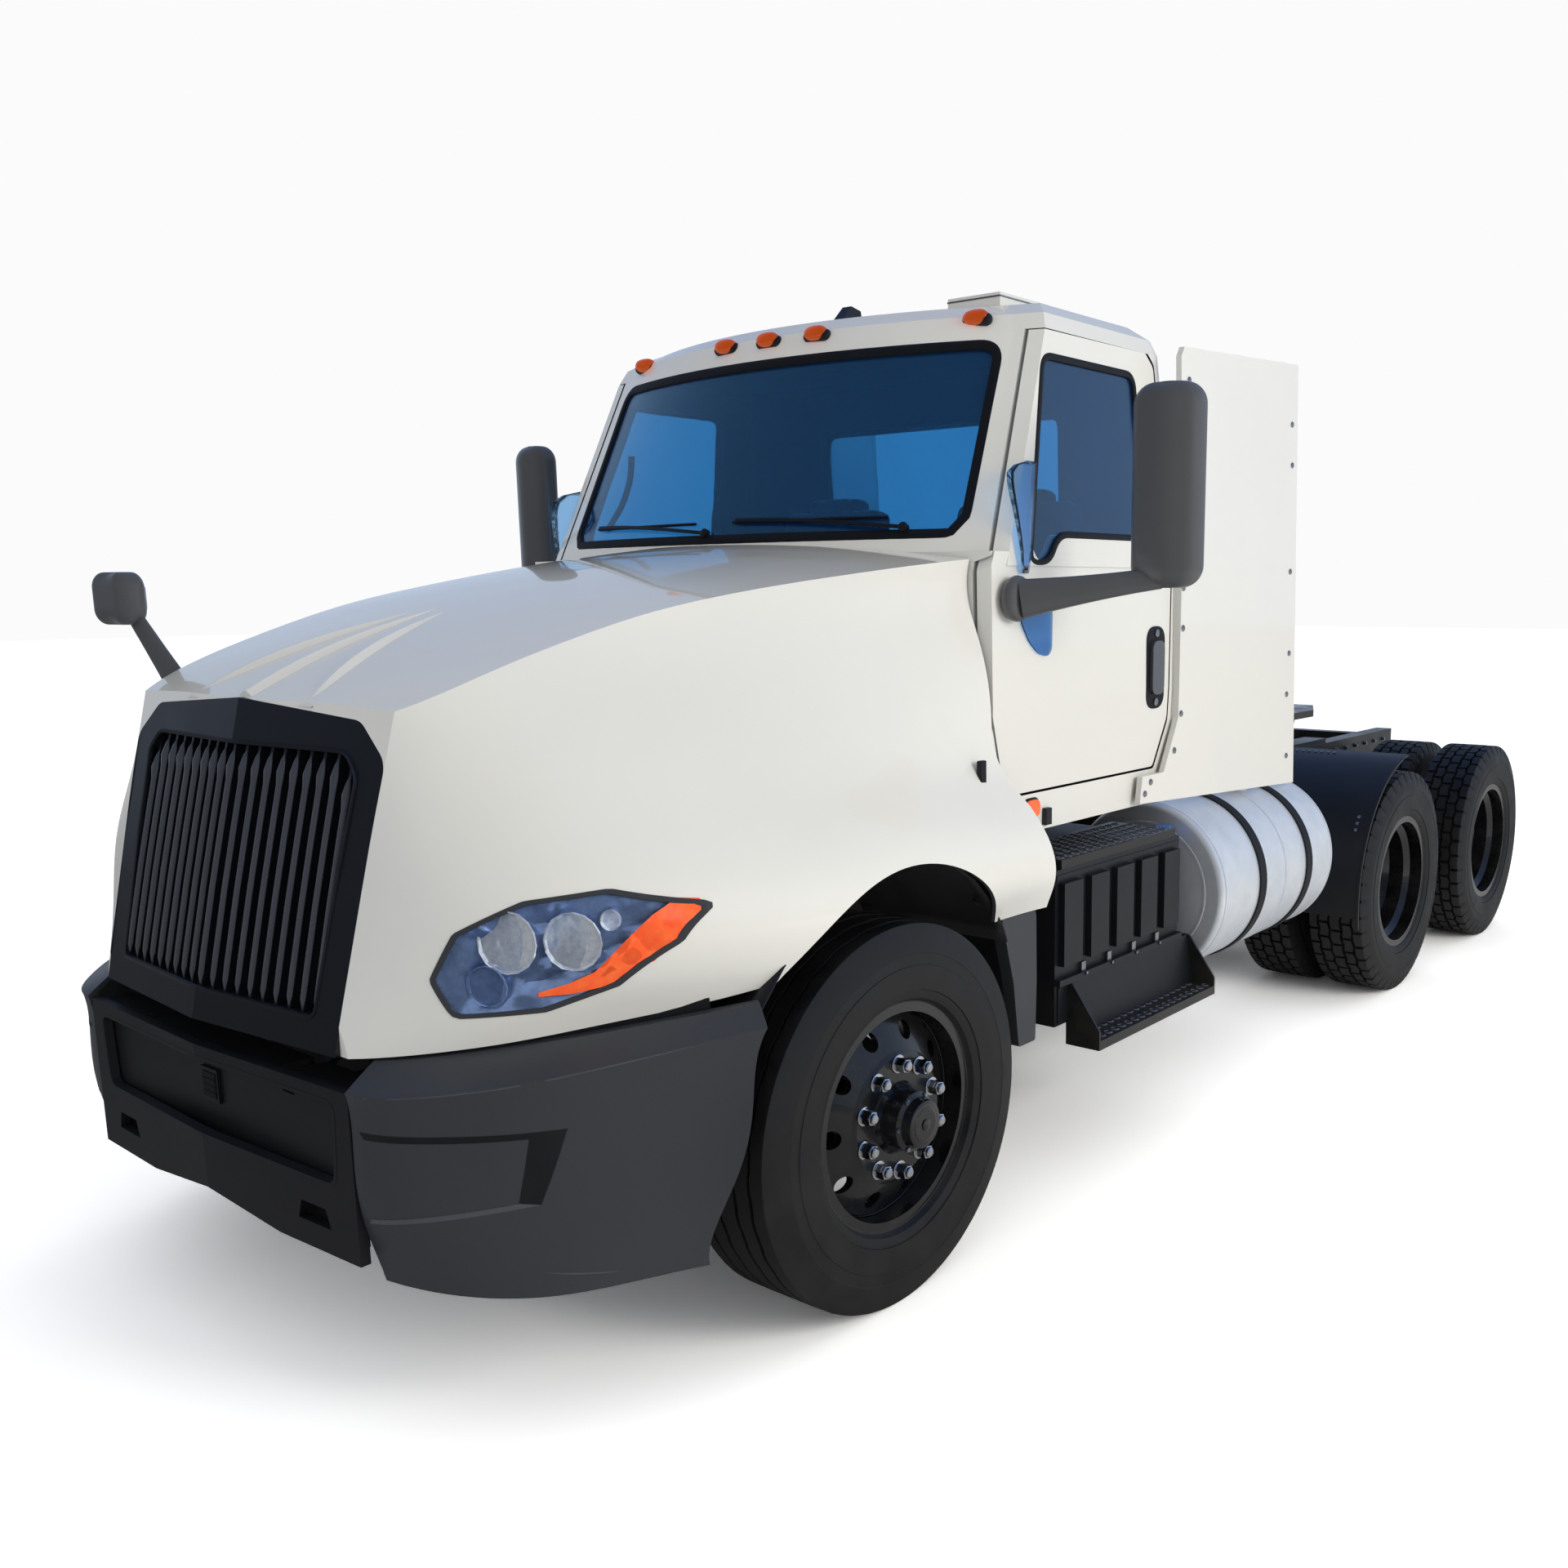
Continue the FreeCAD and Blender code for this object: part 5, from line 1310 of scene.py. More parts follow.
@dataclass
class Bumper(Assembly):
    """Bumper: folds of its corners with painted shade and painted highlights, the seal under the hood,
    intake frame and centre cover.
    """

    recess_outer: tuple = ((646, 501), (954, 548), (990, 712), (648, 712))
    recess_inner: tuple = ((656, 514), (926, 556), (944, 698), (660, 697))
    lower_crease: tuple = ((968, 399), (1052, 377))
    upper_crease: tuple = ((625, 24), (682, 30), (740, 62), (797, 98), (858, 152), (917, 213), (978, 300),
        (1034, 399), (1080, 482), (1119, 557))
    top_rise: float = 0.113
    rim_plan: tuple = ((612, 92), (690, 135), (810, 252), (930, 388), (1040, 542), (1100, 632))
    seal_inset: float = 23.0
    intake: tuple = ((-548, 562), (548, 562), (563, 758), (-563, 758))

    def dress(self) -> None:
        """Finish the three parts."""
        self.paint(Palette.BUMPER, "bumper_corners", "fender_ends")
        self.paint(Palette.BLACK_PLASTIC, "bumper_centre")

    def build(self) -> None:
        """Add the fine pieces."""
        self.folds()
        self.seals()
        self.centre()

    def folds(self) -> None:
        """Painted shade on the recess's right and top sides, and painted highlights on its lower side and
        along the creases.
        """
        corner = self.skin("bumper_corners")
        folds = Shape()
        corners = list(zip(self.recess_outer, self.recess_inner))
        # Black plastic on the right and top sides is painted shade; pale satin grey on the lower side is a
        # painted highlight
        for side, mark in ((1, 1), (2, 1), (0, 2)):
            folds.mark = mark
            rows = []
            for share in (0.0, 0.2, 0.4, 0.6, 0.8, 1.0):
                start, end = [[lerp(a, b, share) for a, b in zip(*corners[k % 4])] for k in (side, side + 1)]
                path, normals = corner.trace_front(between(start, end, 14))
                rows.append([p + n * 0.9 for p, n in zip(path, normals)])
            folds.net(rows)
        # Pale satin grey beads along the creases are painted highlights
        folds.mark = 2
        upper = [(x, 790 + self.top_rise * y) for x, y in self.upper_crease]
        for line in (between(*self.lower_crease, 10), upper):
            path, normals = corner.trace_front(line)
            last = len(path) - 1
            folds.sweep(path, normals, [(-4, -2), (-1.5, 1.5), (1.5, 1.5), (4, -2)],
                        scale=[sin(pi * (0.1 + 0.8 * t / last)) for t in range(last + 1)])
        folds.mirrored().into("bumper_corner_painted_shade_and_highlights", "chassis", Palette.BUMPER, Palette.BLACK_PLASTIC,
                              Palette.BLADE, angle=30)

    def seals(self) -> None:
        """Flat rubber between each corner's top rim and the hood."""
        rim = [Vector((x, y, 838 + self.top_rise * y)) for x, y in self.rim_plan]
        base = []
        for index, point in enumerate(rim):
            way = rim[min(index + 1, len(rim) - 1)] - rim[max(index - 1, 0)]
            inward = Vector((-way.y, way.x, 0)).normalized()
            base.append(point + inward * self.seal_inset + UP * 6)
        seal = Shape().sweep(base, facing(UP, base), [(-2.5, -22), (-2.5, 22), (2.5, 22), (2.5, -22)])
        seal.mirrored().into("bumper_top_seals", "chassis", Palette.GASKET, angle=30)

    def centre(self) -> None:
        """Frame of the intake, plates behind the tow slots, and the ribbed cover in the middle."""
        frame = Shape()
        outline = divided(rounded(self.intake, 38, 6), 60)
        path = [Vector((x, 28 * abs(x) / 618 + 1, z)) for x, z in outline]
        frame.sweep(path, facing(FORWARD, path), [(-9, -20), (-5, 1.5), (5, 1.5), (9, -20)], closed=True)
        frame.box((-70, 10), (42, 50), (628, 712))
        for x in (-450, 450):
            frame.box(about(x, 150), (57, 64), (425, 530))
        frame.into("bumper_intake_frame", "chassis", Palette.BLACK_PLASTIC, angle=30)
        cover = Shape()
        cover.box((-60, 0), (40, 43), (638, 702))
        for z in (652, 668, 684):
            cover.box((-60, 0), (38.5, 40), about(z, 2))
        cover.into("bumper_centre_cover", "chassis", Palette.GASKET, bevel_mm=0.6)


@dataclass
class Hood(Assembly):
    """Hood: paint, arch liners, latches and the hood mirror."""

    arch_y: float = 1215.0
    arch_z: float = 648.0
    arch_ends: tuple[float, float] = (24.0, 158.0)
    liner_radius: float = 527.0
    flare_from: float = 138.0
    latch_y: float = 1690.0
    mirror_plan: tuple = ((-1150, 345), (-970, 350), (-955, 425), (-1140, 445))
    mirror_arm: tuple = ((-832, 445, 1545), (-1012, 405, 1775))

    def dress(self) -> None:
        """Finish the hood's nodes."""
        self.paint(Palette.HOOD, "hood_shell")
        self.paint(Palette.BLACK_PLASTIC, "hood_mirror")

    def build(self) -> None:
        """Add the fine pieces."""
        self.liners()
        self.latches()
        self.mirror()

    def liners(self) -> None:
        """Ribbed liners of the wheel arches with their clips."""
        liner = Shape()
        rows = []
        for step in range(25):
            degrees = lerp(*self.arch_ends, step / 24)
            angle = radians(degrees)
            radius = self.liner_radius + (3 if step % 2 else 0) + 1.5 * max(0.0, degrees - self.flare_from)
            y, z = self.arch_y + radius * cos(angle), self.arch_z + radius * sin(angle)
            rows.append([(x, y, z) for x in (640, 860, 1000, 1120, 1165)])
        liner.net(rows)
        for step in (3, 8, 13, 17, 20):
            angle = radians(lerp(*self.arch_ends, step / 24))
            out = Vector((0, cos(angle), sin(angle)))
            clip = Vector((1120, self.arch_y, self.arch_z)) + out * (self.liner_radius - 4)
            liner.lathe([(0, 12), (3, 12), (5, 8)], clip, -out, 14)
        thicken(liner.mirrored().into("wheel_arch_liners", "hood", Palette.BLACK_PLASTIC), 4)

    def latches(self) -> None:
        """Rubber latches at the hood's rear corners."""
        hit = self.skin("hood_shell").hit((1400, self.latch_y, 1330), -LEFT)
        if hit is None:
            return
        side = hit[0].x
        latch = Shape()
        latch.box((side - 2, side + 14), about(self.latch_y, 14), (1290, 1370))
        latch.box((side + 4, side + 18), about(self.latch_y, 9), (1268, 1300))
        latch.mirrored().into("hood_latches", "hood", Palette.GASKET, bevel_mm=3)

    def mirror(self) -> None:
        """Glass, housing and arm of the mirror on the right fender."""
        glass = Shape()
        pane = rounded([(-1120, 1786), (-980, 1786), (-980, 1864), (-1120, 1864)], 22, 5)
        glass.slab([(x, 425 - (x + 955) * 0.108, z) for x, z in pane], Vector((0.2, 2, 0)))
        glass.into("hood_mirror_glass", "hood", Palette.MIRROR)
        housing = Shape()
        housing.pillow(self.mirror_plan, 1750, 1900, 34, 44)
        path = between(*self.mirror_arm, 8)
        flare = [lerp(1.75, 1.0, (i / 8) ** 0.7) for i in range(9)]
        housing.sweep(path, facing(FORWARD, path), oval(32, 12, 20, 0.7), scale=flare)
        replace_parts(housing.into("hood_mirror_housing", "hood", Palette.HOUSING, angle=60), "hood_mirror")


# Cab

# Height and half width of the cab's side
CAB_SIDE = ((1115, 1018), (1500, 1030), (1945, 1024), (2600, 955))


def cab_side(z: float) -> float:
    """Distance of the cab's side from the centre plane.

    Args:
        z: Height.

    Returns:
        The distance.
    """
    for (low, near), (high, far) in zip(CAB_SIDE, CAB_SIDE[1:]):
        if z <= high:
            return lerp(near, far, (z - low) / (high - low))
    return CAB_SIDE[-1][1]


@dataclass
class Screens(Assembly):
    """Glass with its rubber surrounds, blackened borders and wipers."""

    front_seal: tuple = ((-876, 1996), (876, 1996), (834, 2560), (-834, 2560))
    front_border: tuple = ((-842, 2034), (842, 2034), (806, 2512), (-806, 2512))
    rear_seal: tuple = ((-556, 2004), (556, 2004), (556, 2446), (-556, 2446))
    wiper_ends: tuple = ((-60, -690), (690, 70))
    wiper_foot: float = 2016.0

    def dress(self) -> None:
        """Finish the panes."""
        self.paint(Palette.GLASS, "windscreen", "rear_window", "door_glass_left", "door_glass_right")

    def build(self) -> None:
        """Add the fine pieces."""
        pane = self.skin("windscreen")
        path, normals = pane.trace_front(divided(rounded(self.front_seal, 66, 8), 40))
        seal = Shape()
        seal.sweep(path, normals, [(-17, -3), (-17, 5.5), (-11, 8.5), (11, 8.5), (17, 4), (17, -3)],
                   closed=True)
        seal.into("windscreen_seal", "chassis", Palette.GASKET, angle=50)
        inner, inner_normals = pane.trace_front(divided(rounded(self.front_border, 50, 8), 40))
        if len(inner) == len(path):
            edges = ((path, normals), (inner, inner_normals))
            rows = [[p - n * 9.5 for p, n in zip(*edge)] for edge in edges]
            Shape().net(rows, closed=True).into("windscreen_black_border", "chassis", Palette.GASKET)
        outline = divided(rounded(self.rear_seal, 56, 6), 60)
        path, normals = self.skin("rear_window").trace([(x, 3300, z) for x, z in outline], FORWARD)
        rear = Shape()
        rear.sweep(path, normals, [(-14, -3), (-14, 5), (-9, 8), (9, 8), (14, 5), (14, -3)], closed=True)
        rear.into("rear_window_seal", "chassis", Palette.GASKET, angle=50)
        self.wipers(pane)

    def wipers(self, pane: Skin) -> None:
        """Two wipers parked along the foot of the windscreen.

        Args:
            pane: Surface of the windscreen.
        """
        arms = Shape()
        for pivot, tip in self.wiper_ends:
            line = [(lerp(pivot, tip, t / 14), lerp(self.wiper_foot, 2052, sin(pi * 0.5 * t / 14)))
                    for t in range(15)]
            path, normals = pane.trace_front(line)
            arms.sweep([p + n * 13 for p, n in zip(path, normals)], normals,
                       [(-5, -3), (-5, 3), (5, 3), (5, -3)])
            path, normals = pane.trace_front(between((pivot - 60, 2050), (tip - 20, 2050), 14))
            arms.sweep([p + n * 6 for p, n in zip(path, normals)], normals,
                       [(-4, -5), (-2, 4), (2, 4), (4, -5)])
            hit = pane.from_front(pivot, self.wiper_foot)
            if hit:
                arms.lathe([(0, 16), (16, 15), (20, 10)], *hit, 20)
        arms.into("wipers", "chassis", Palette.BLACK_PLASTIC, angle=40)


@dataclass
class Door(Assembly):
    """Door: window rubber, deflector, handle, mirror and armrest."""

    side: str = "left"
    window: tuple = ((2010, 1915), (2165, 2520), (2700, 2520), (2700, 2000), (2180, 2000), (2110, 1915))
    deflector: tuple = ((1884, 1952, 10), (1909, 1942, 15), (1950, 1934, 17), (1991, 1926, 18), (2030, 1918,
        18), (2069, 1910, 17), (2110, 1902, 15), (2140, 1900, 13), (2165, 1908, 10), (2188, 1948, 8), (2204,
        2020, 5))
    cup: tuple = ((2704, 1438), (2826, 1438), (2826, 1714), (2704, 1714))
    lever: tuple = ((2726, 1486), (2806, 1486), (2806, 1666), (2726, 1666))
    mirror_plan: tuple = ((1300, 2165), (1508, 2188), (1506, 2108), (1420, 2060), (1310, 2080))
    mirror_arm: tuple = ((1066, 1905, 1811), (1400, 2112, 1868))
    pivot_profile: tuple = ((-14, 40), (-10, 61), (4, 66), (14, 64), (24, 54), (31, 36), (33, 12))
    knob_shadow_outline: tuple = ((1946, 1790), (1955, 1742), (1995, 1686), (2045, 1648), (2095, 1640), (2118, 1660),
        (2122, 1790))

    def dress(self) -> None:
        """Finish the panels and mirrors."""
        self.paint(Palette.CAB, "door_panel_" + self.side)
        self.paint(Palette.BLACK_PLASTIC, "door_mirror_" + self.side)

    def build(self) -> None:
        """Add the fine pieces."""
        self.surround()
        self.handle()
        self.mirror()
        self.inside()

    def fit(self, shape: Shape, name: str, *finishes: Palette, **edges: float) -> Object:
        """Make a piece of this door from a shape drawn on the left."""
        return shape.on_side(self.side).into(f"{name}_{self.side}", "door_" + self.side, *finishes, **edges)

    def surround(self) -> None:
        """Rubber around the window and the smoked deflector at its front edge."""
        rubber = Shape()
        path = [Vector((cab_side(z), y, z)) for y, z in divided(rounded(self.window, 48, 7), 50)]
        rubber.sweep(path, facing(Vector((1, 0, 0.08)), path),
                     [(-10, -6), (-10, 1.5), (-6, 3.5), (7, 3.5), (10, 1), (10, -6)], closed=True)
        self.fit(rubber, "door_window_rubber", Palette.GASKET, angle=45)
        rows = []
        for z, front, lift in self.deflector:
            side_x, back = cab_side(z) + 3, 2003 + 0.255 * (z - 1905)
            rows.append(between((side_x, back, z), (side_x + lift, front, z), 4))
        thicken(self.fit(Shape().net(rows), "wind_deflector", Palette.SMOKED), 3)

    def handle(self) -> None:
        """Upright pull in an oval cup, with a bright dot at each end."""
        x = cab_side(1580)
        cup = Shape()
        cup.slab([(x - 1, y, z) for y, z in rounded(self.cup, 61, 10)], LEFT * 4)
        cup.mark = 2
        cup.slab([(x + 2, y, z) for y, z in rounded(self.lever, 32, 8)], LEFT * 13)
        cup.mark = 1
        for z in (1461, 1691):
            cup.lathe([(0, 14), (3, 14), (5, 11), (5, 3)], (x + 3, 2767, z), LEFT, 20)
        self.fit(cup, "door_handle", Palette.GASKET, Palette.ZINC, Palette.BLADE, bevel_mm=1.8)

    def mirror(self) -> None:
        """Mirror glass, housing and arm, the pivot knob, and below it a smoked blue sheet that is a painted
        shadow of the knob and arm.
        """
        glass = Shape()
        for low, high in ((1906, 2160), (2178, 2336)):
            pane = rounded([(1326, low), (1484, low), (1484, high), (1326, high)], 20, 5)
            glass.slab([(x, 2164 + (x - 1300) * 0.1106, z) for x, z in pane], Vector((0.3, 3, 0)))
        self.fit(glass, "door_mirror_glass", Palette.MIRROR)
        housing = Shape()
        housing.pillow(self.mirror_plan, 1840, 2400, 44, 62)
        path = between(*self.mirror_arm, 12)
        flare = [lerp(1.15, 2.1, (1 - i / 12) ** 1.8) for i in range(13)]
        housing.sweep(path, facing(UP, path), oval(20, 27, 24), scale=flare)
        obj = self.fit(housing, "door_mirror_housing", Palette.HOUSING, angle=60)
        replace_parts(obj, "door_mirror_" + self.side)
        knob = Shape()
        knob.lathe(self.pivot_profile, (1048, 1905, 1812), LEFT, 40)
        self.fit(knob, "door_mirror_pivot", Palette.HOUSING, angle=60)
        # Smoked blue sheet on the door below the knob: a painted shadow of the knob and arm
        painted_shadow_sheet = Shape()
        painted_shadow_sheet.slab([(cab_side(z) + 3, y, z) for y, z in rounded(self.knob_shadow_outline, 22, 5)], LEFT * 5)
        self.fit(painted_shadow_sheet, "door_mirror_knob_painted_shadow", Palette.SMOKED, bevel_mm=1.5)

    def inside(self) -> None:
        """Armrest and pull inside the door."""
        trim = Shape()
        trim.box((925, 968), (2150, 2620), (1560, 1610))
        trim.box((945, 970), (2080, 2700), (1300, 1420))
        self.fit(trim, "door_armrest", Palette.BLACK_PLASTIC, bevel_mm=10)


@dataclass
class CabOutside(Assembly):
    """Cab shell, extenders, roof and sill details."""

    screw_places: tuple = ((2908, 2520), (2905, 2200), (2902, 1840), (2905, 1704), (2905, 1412), (2862,
        1288), (2700, 1196), (2662, 1160), (3744, 2448), (3758, 2299), (3775, 1900), (3792, 1585), (3783,
        1425), (3800, 1180))
    marker_base: tuple = ((1985, 1155), (2072, 1155), (2072, 1220), (1985, 1220))
    marker_lens: tuple = ((1991, 1161), (2066, 1161), (2066, 1214), (1991, 1214))
    roof_lamps: tuple = ((0, 2006, 2640), (203, 2014, 2640), (-203, 2014, 2640), (742, 2135, 2644), (-742,
        2135, 2644))
    lamp_base: tuple = ((-52, 6), (-47, 15), (-38, 20), (38, 20), (47, 15), (52, 6))
    lamp_dome: tuple = ((-45, 3), (-43, 9), (-38, 15), (-30, 20), (-18, 23), (0, 24), (18, 23), (30, 20),
        (38, 15), (43, 9), (45, 3))

    def dress(self) -> None:
        """Finish the nodes."""
        self.paint(Palette.CAB, "cab_shell")
        self.paint(Palette.PAINT, "cab_extenders")
        self.paint(Palette.ROOF, "roof_fittings")
        self.paint(Palette.AMBER, "marker_lamps")
        self.paint(Palette.CHASSIS, "cab_mounts", "hood_hinges")

    def build(self) -> None:
        """Add the fine pieces."""
        self.screws()
        self.sill()
        self.roof()

    def screws(self) -> None:
        """Button-head screws along the extenders' edges."""
        heads = Shape()
        for y, z in self.screw_places:
            heads.lathe([(0, 11), (2.5, 11), (5, 8.5), (6, 4)], (1056, y, z), LEFT, 16)
        heads.mirrored().into("extender_screws", "chassis", Palette.ZINC, angle=35)

    def sill(self) -> None:
        """Side marker and catch at the front of each sill."""
        x = cab_side(1180)
        base = Shape()
        base.slab([(x - 2, y, z) for y, z in rounded(self.marker_base, 32, 8)], LEFT * 6)
        base.box((x - 2, x + 16), (2092, 2124), (1128, 1180))
        base.mirrored().into("sill_marker_bases", "chassis", Palette.BLACK_PLASTIC, bevel_mm=2)
        lens = Shape()
        lens.slab([(x + 4, y, z) for y, z in rounded(self.marker_lens, 26, 8)], LEFT * 9)
        lens.mirrored().into("sill_marker_lenses", "chassis", Palette.AMBER_BACK, bevel_mm=4)

    def roof(self) -> None:
        """Marker lamps on their bases, and the lid and screws of the roof box."""
        bases, domes = Shape(), Shape()
        for x, y, z in self.roof_lamps:
            bases.lathe(self.lamp_base, (x, y + 7, z - 8), LEFT, 24)
            domes.lathe(self.lamp_dome, (x, y, z), LEFT, 28)
        bases.into("marker_lamp_bases", "chassis", Palette.BLACK_PLASTIC, angle=50)
        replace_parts(domes.into("marker_lamp_domes", "chassis", Palette.AMBER, angle=60), "marker_lamps")
        lid = Shape()
        lid.box((548, 752), (2248, 2522), (2722, 2727))
        for x in (575, 725):
            for y in (2280, 2385, 2490):
                lid.lathe([(0, 8), (2, 8), (4, 5)], (x, y, 2736), UP, 12)
        lid.into("roof_box_seams", "chassis", Palette.ZINC, bevel_mm=1.5)


@dataclass
class CabInside(Assembly):
    """Seats, dashboard and handles seen through the glass."""

    seat_x: float = 430.0
    gauge_x: tuple = (330, 430, 530)
    vent_x: tuple = (-760, -480, -120, 120, 760)
    pads: tuple = ((2600, 1492, (252, 205, 62), 0, 34), (2782, 1838, (242, 52, 300), 8, 30), (2829, 2120,
        (130, 40, 62), 8, 22))
    pad_steps: int = 18
    pad_puff: float = 8.0
    seam_depth: float = 5.0

    def dress(self) -> None:
        """Finish the dashboard and wheel."""
        self.paint(Palette.BLACK_PLASTIC, "dashboard", "steering_wheel")

    def build(self) -> None:
        """Add padded seats, gauges, vents, handles and floor."""
        self.seats()
        self.dashboard()
        rail = Shape()
        for side in (1, -1):
            straight = between((side * 872, 2036, 2060), (side * 836, 2134, 2330), 12)
            path = [Vector((x, y + 34 * sin(pi * i / 12), z))
                    for i, (x, y, z) in enumerate(straight)]
            rail.sweep(path, facing(LEFT * -side, path), oval(12, 12, 8))
        rail.into("pillar_grab_handles", "chassis", Palette.BLACK_PLASTIC, angle=60)
        floor = Shape()
        floor.box((-950, 950), (2140, 2860), (1161, 1170))
        floor.into("floor_mat", "chassis", Palette.GASKET, bevel_mm=3)

    def dashboard(self) -> None:
        """Gauge rings, vents and the hood over the gauges."""
        dash = Shape()
        for x in self.gauge_x:
            dash.lathe([(0, 52), (8, 52), (10, 47), (6, 44)], (x, 2108, 1862), (0, 0.75, 0.66), 28)
        for x in self.vent_x:
            dash.box(about(x, 70), (2098, 2116), (1800, 1850))
        dash.into("gauge_rings_and_vents", "chassis", Palette.CHROME, angle=30)
        front = []
        for x in range(240, 621, 20):
            bulge = cos((x - self.seat_x) / 190 * pi / 2)
            front.append((x, 2050 - 26 * bulge, 1926 + 34 * bulge))
        cowl = Shape().net([front, [(x, y + 70, z - 4) for x, y, z in front]])
        thicken(cowl.into("gauge_hood", "chassis", Palette.BLACK_PLASTIC), 6)

    def seats(self) -> None:
        """Two seats with padded cushion, back and headrest on their pedestals."""
        cloth, frame = Shape(), Shape()
        for x in (self.seat_x, -self.seat_x):
            for y, z, half, lean, corner in self.pads:
                self.pad(cloth, (x, y, z), half, radians(lean), corner)
            frame.box(about(x, 195), (2455, 2755), (1171, 1432))
            frame.box(about(x, 215), (2440, 2775), (1400, 1436))
        seats = cloth.into("seat_pads", "chassis", Palette.CLOTH, angle=80)
        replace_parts(seats, "seats")
        frame.into("seat_pedestals", "chassis", Palette.BLACK_PLASTIC, bevel_mm=6)

    def pad(self, shape: Shape, middle: tuple, half: tuple, lean: float, corner: float) -> None:
        """Puffed rounded box with sewn channels.

        Args:
            shape: Shape that takes the pad.
            middle: Middle of the pad.
            half: Half sizes.
            lean: Turn about X in radians.
            corner: Rounding of the edges.
        """
        turn = Matrix.Rotation(-lean, 3, "X")
        core = [h - corner for h in half]
        shares = [2 * i / self.pad_steps - 1 for i in range(self.pad_steps + 1)]
        for axis in range(3):
            first, second = (axis + 1) % 3, (axis + 2) % 3
            for sign in (1, -1):
                rows = []
                for u in shares:
                    row = []
                    for v in shares:
                        cube = [0.0, 0.0, 0.0]
                        cube[axis], cube[first], cube[second] = sign, u * sign, v
                        point = Vector([c * h for c, h in zip(cube, half)])
                        inner = Vector([max(-limit, min(limit, p)) for limit, p in zip(core, point)])
                        puff = self.pad_puff * cos(u * pi / 2) * cos(v * pi / 2)
                        channel = exp(-((abs(cube[0]) - 0.55) / 0.05) ** 2) if axis else 0.0
                        out = corner + puff - self.seam_depth * channel
                        row.append(Vector(middle) + turn @ (inner + (point - inner).normalized() * out))
                    rows.append(row)
                shape.net(rows)


# Chassis

@dataclass
class Tanks(Assembly):
    """Fuel tanks with seam rings, strap bolts and caps, and the additive tank's cap and lines."""

    x: float = 892.0
    z: float = 765.0
    seams: tuple = (2992, 3500, 3938)
    heads: tuple = ((2965, -1), (3965, 1))
    straps: tuple = (3290, 3710)
    filler_y: float = 3560.0
    filler_ribs: int = 20
    fuel_line: tuple = ((880, 2900, 905), (840, 2930, 940), (760, 2975, 960), (640, 3010, 930), (520, 3030,
        880))
    additive_line: tuple = ((1030, 2850, 870), (1052, 2900, 800), (1040, 2925, 700), (1000, 2930, 610))

    def dress(self) -> None:
        """Finish tanks, straps and the additive tank."""
        self.paint(Palette.TANK, "fuel_tank_left", "fuel_tank_right")
        self.paint(Palette.GASKET, "tank_straps")
        self.paint(Palette.BLACK_PLASTIC, "fluid_tank")

    def build(self) -> None:
        """Add the fine pieces."""
        rings = Shape()
        for y in self.seams:
            profile = [(-5, 313), (-3, 317), (3, 317), (5, 313)]
            rings.lathe(profile, (self.x, y, self.z), BACK, 96, closed=True)
        for y, way in self.heads:
            profile = [(-2, 250), (1.5, 246), (1.5, 238), (-2, 234)]
            rings.lathe(profile, (self.x, y, self.z), BACK * way, 96, closed=True)
        rings.mirrored().into("tank_seam_rings", "chassis", Palette.TANK, angle=40)
        self.caps()
        bolts = Shape()
        for y in self.straps:
            bolts.rod((self.x - 246, y, self.z + 250), (self.x - 200, y, self.z + 262), 9, 10)
            for angle in (150, 200):
                turn = radians(angle)
                out = Vector((cos(turn), 0, sin(turn)))
                bolts.lathe([(0, 11), (9, 11), (11, 8)], Vector((self.x, y, self.z)) + out * 322, out, 6)
        bolts.mirrored().into("tank_strap_bolts", "chassis", Palette.ZINC)
        blue = Shape()
        blue.lathe([(0, 24), (18, 24), (19, 33), (52, 33), (58, 28), (60, 10)], (1004, 2886, 958), UP, 24)
        blue.into("additive_tank_cap", "chassis", Palette.BLUE_CAP, angle=40)
        lines = Shape()
        lines.sweep(self.fuel_line, facing(UP, self.fuel_line), oval(13, 13, 8))
        lines.sweep(self.additive_line, facing(FORWARD, self.additive_line), oval(9, 9, 8))
        lines.into("fuel_and_additive_lines", "chassis", Palette.GASKET, angle=70)

    def caps(self) -> None:
        """Filler caps with the ends of their grip ribs."""
        cap = Shape()
        for along, _ in oval(45, 45, self.filler_ribs):
            y = self.filler_y + along
            cap.rod((self.x + 76, y, self.z + 342), (self.x + 78, y, self.z + 360), 2.0, 6)
        cap.lathe([(0, 47), (4, 49), (10, 49), (14, 44), (16, 20)],
                  (self.x + 75.5, self.filler_y, self.z + 357), (0.22, 0, 0.97), 40)
        cap.mirrored().into("tank_filler_caps", "chassis", Palette.CHROME, angle=40)


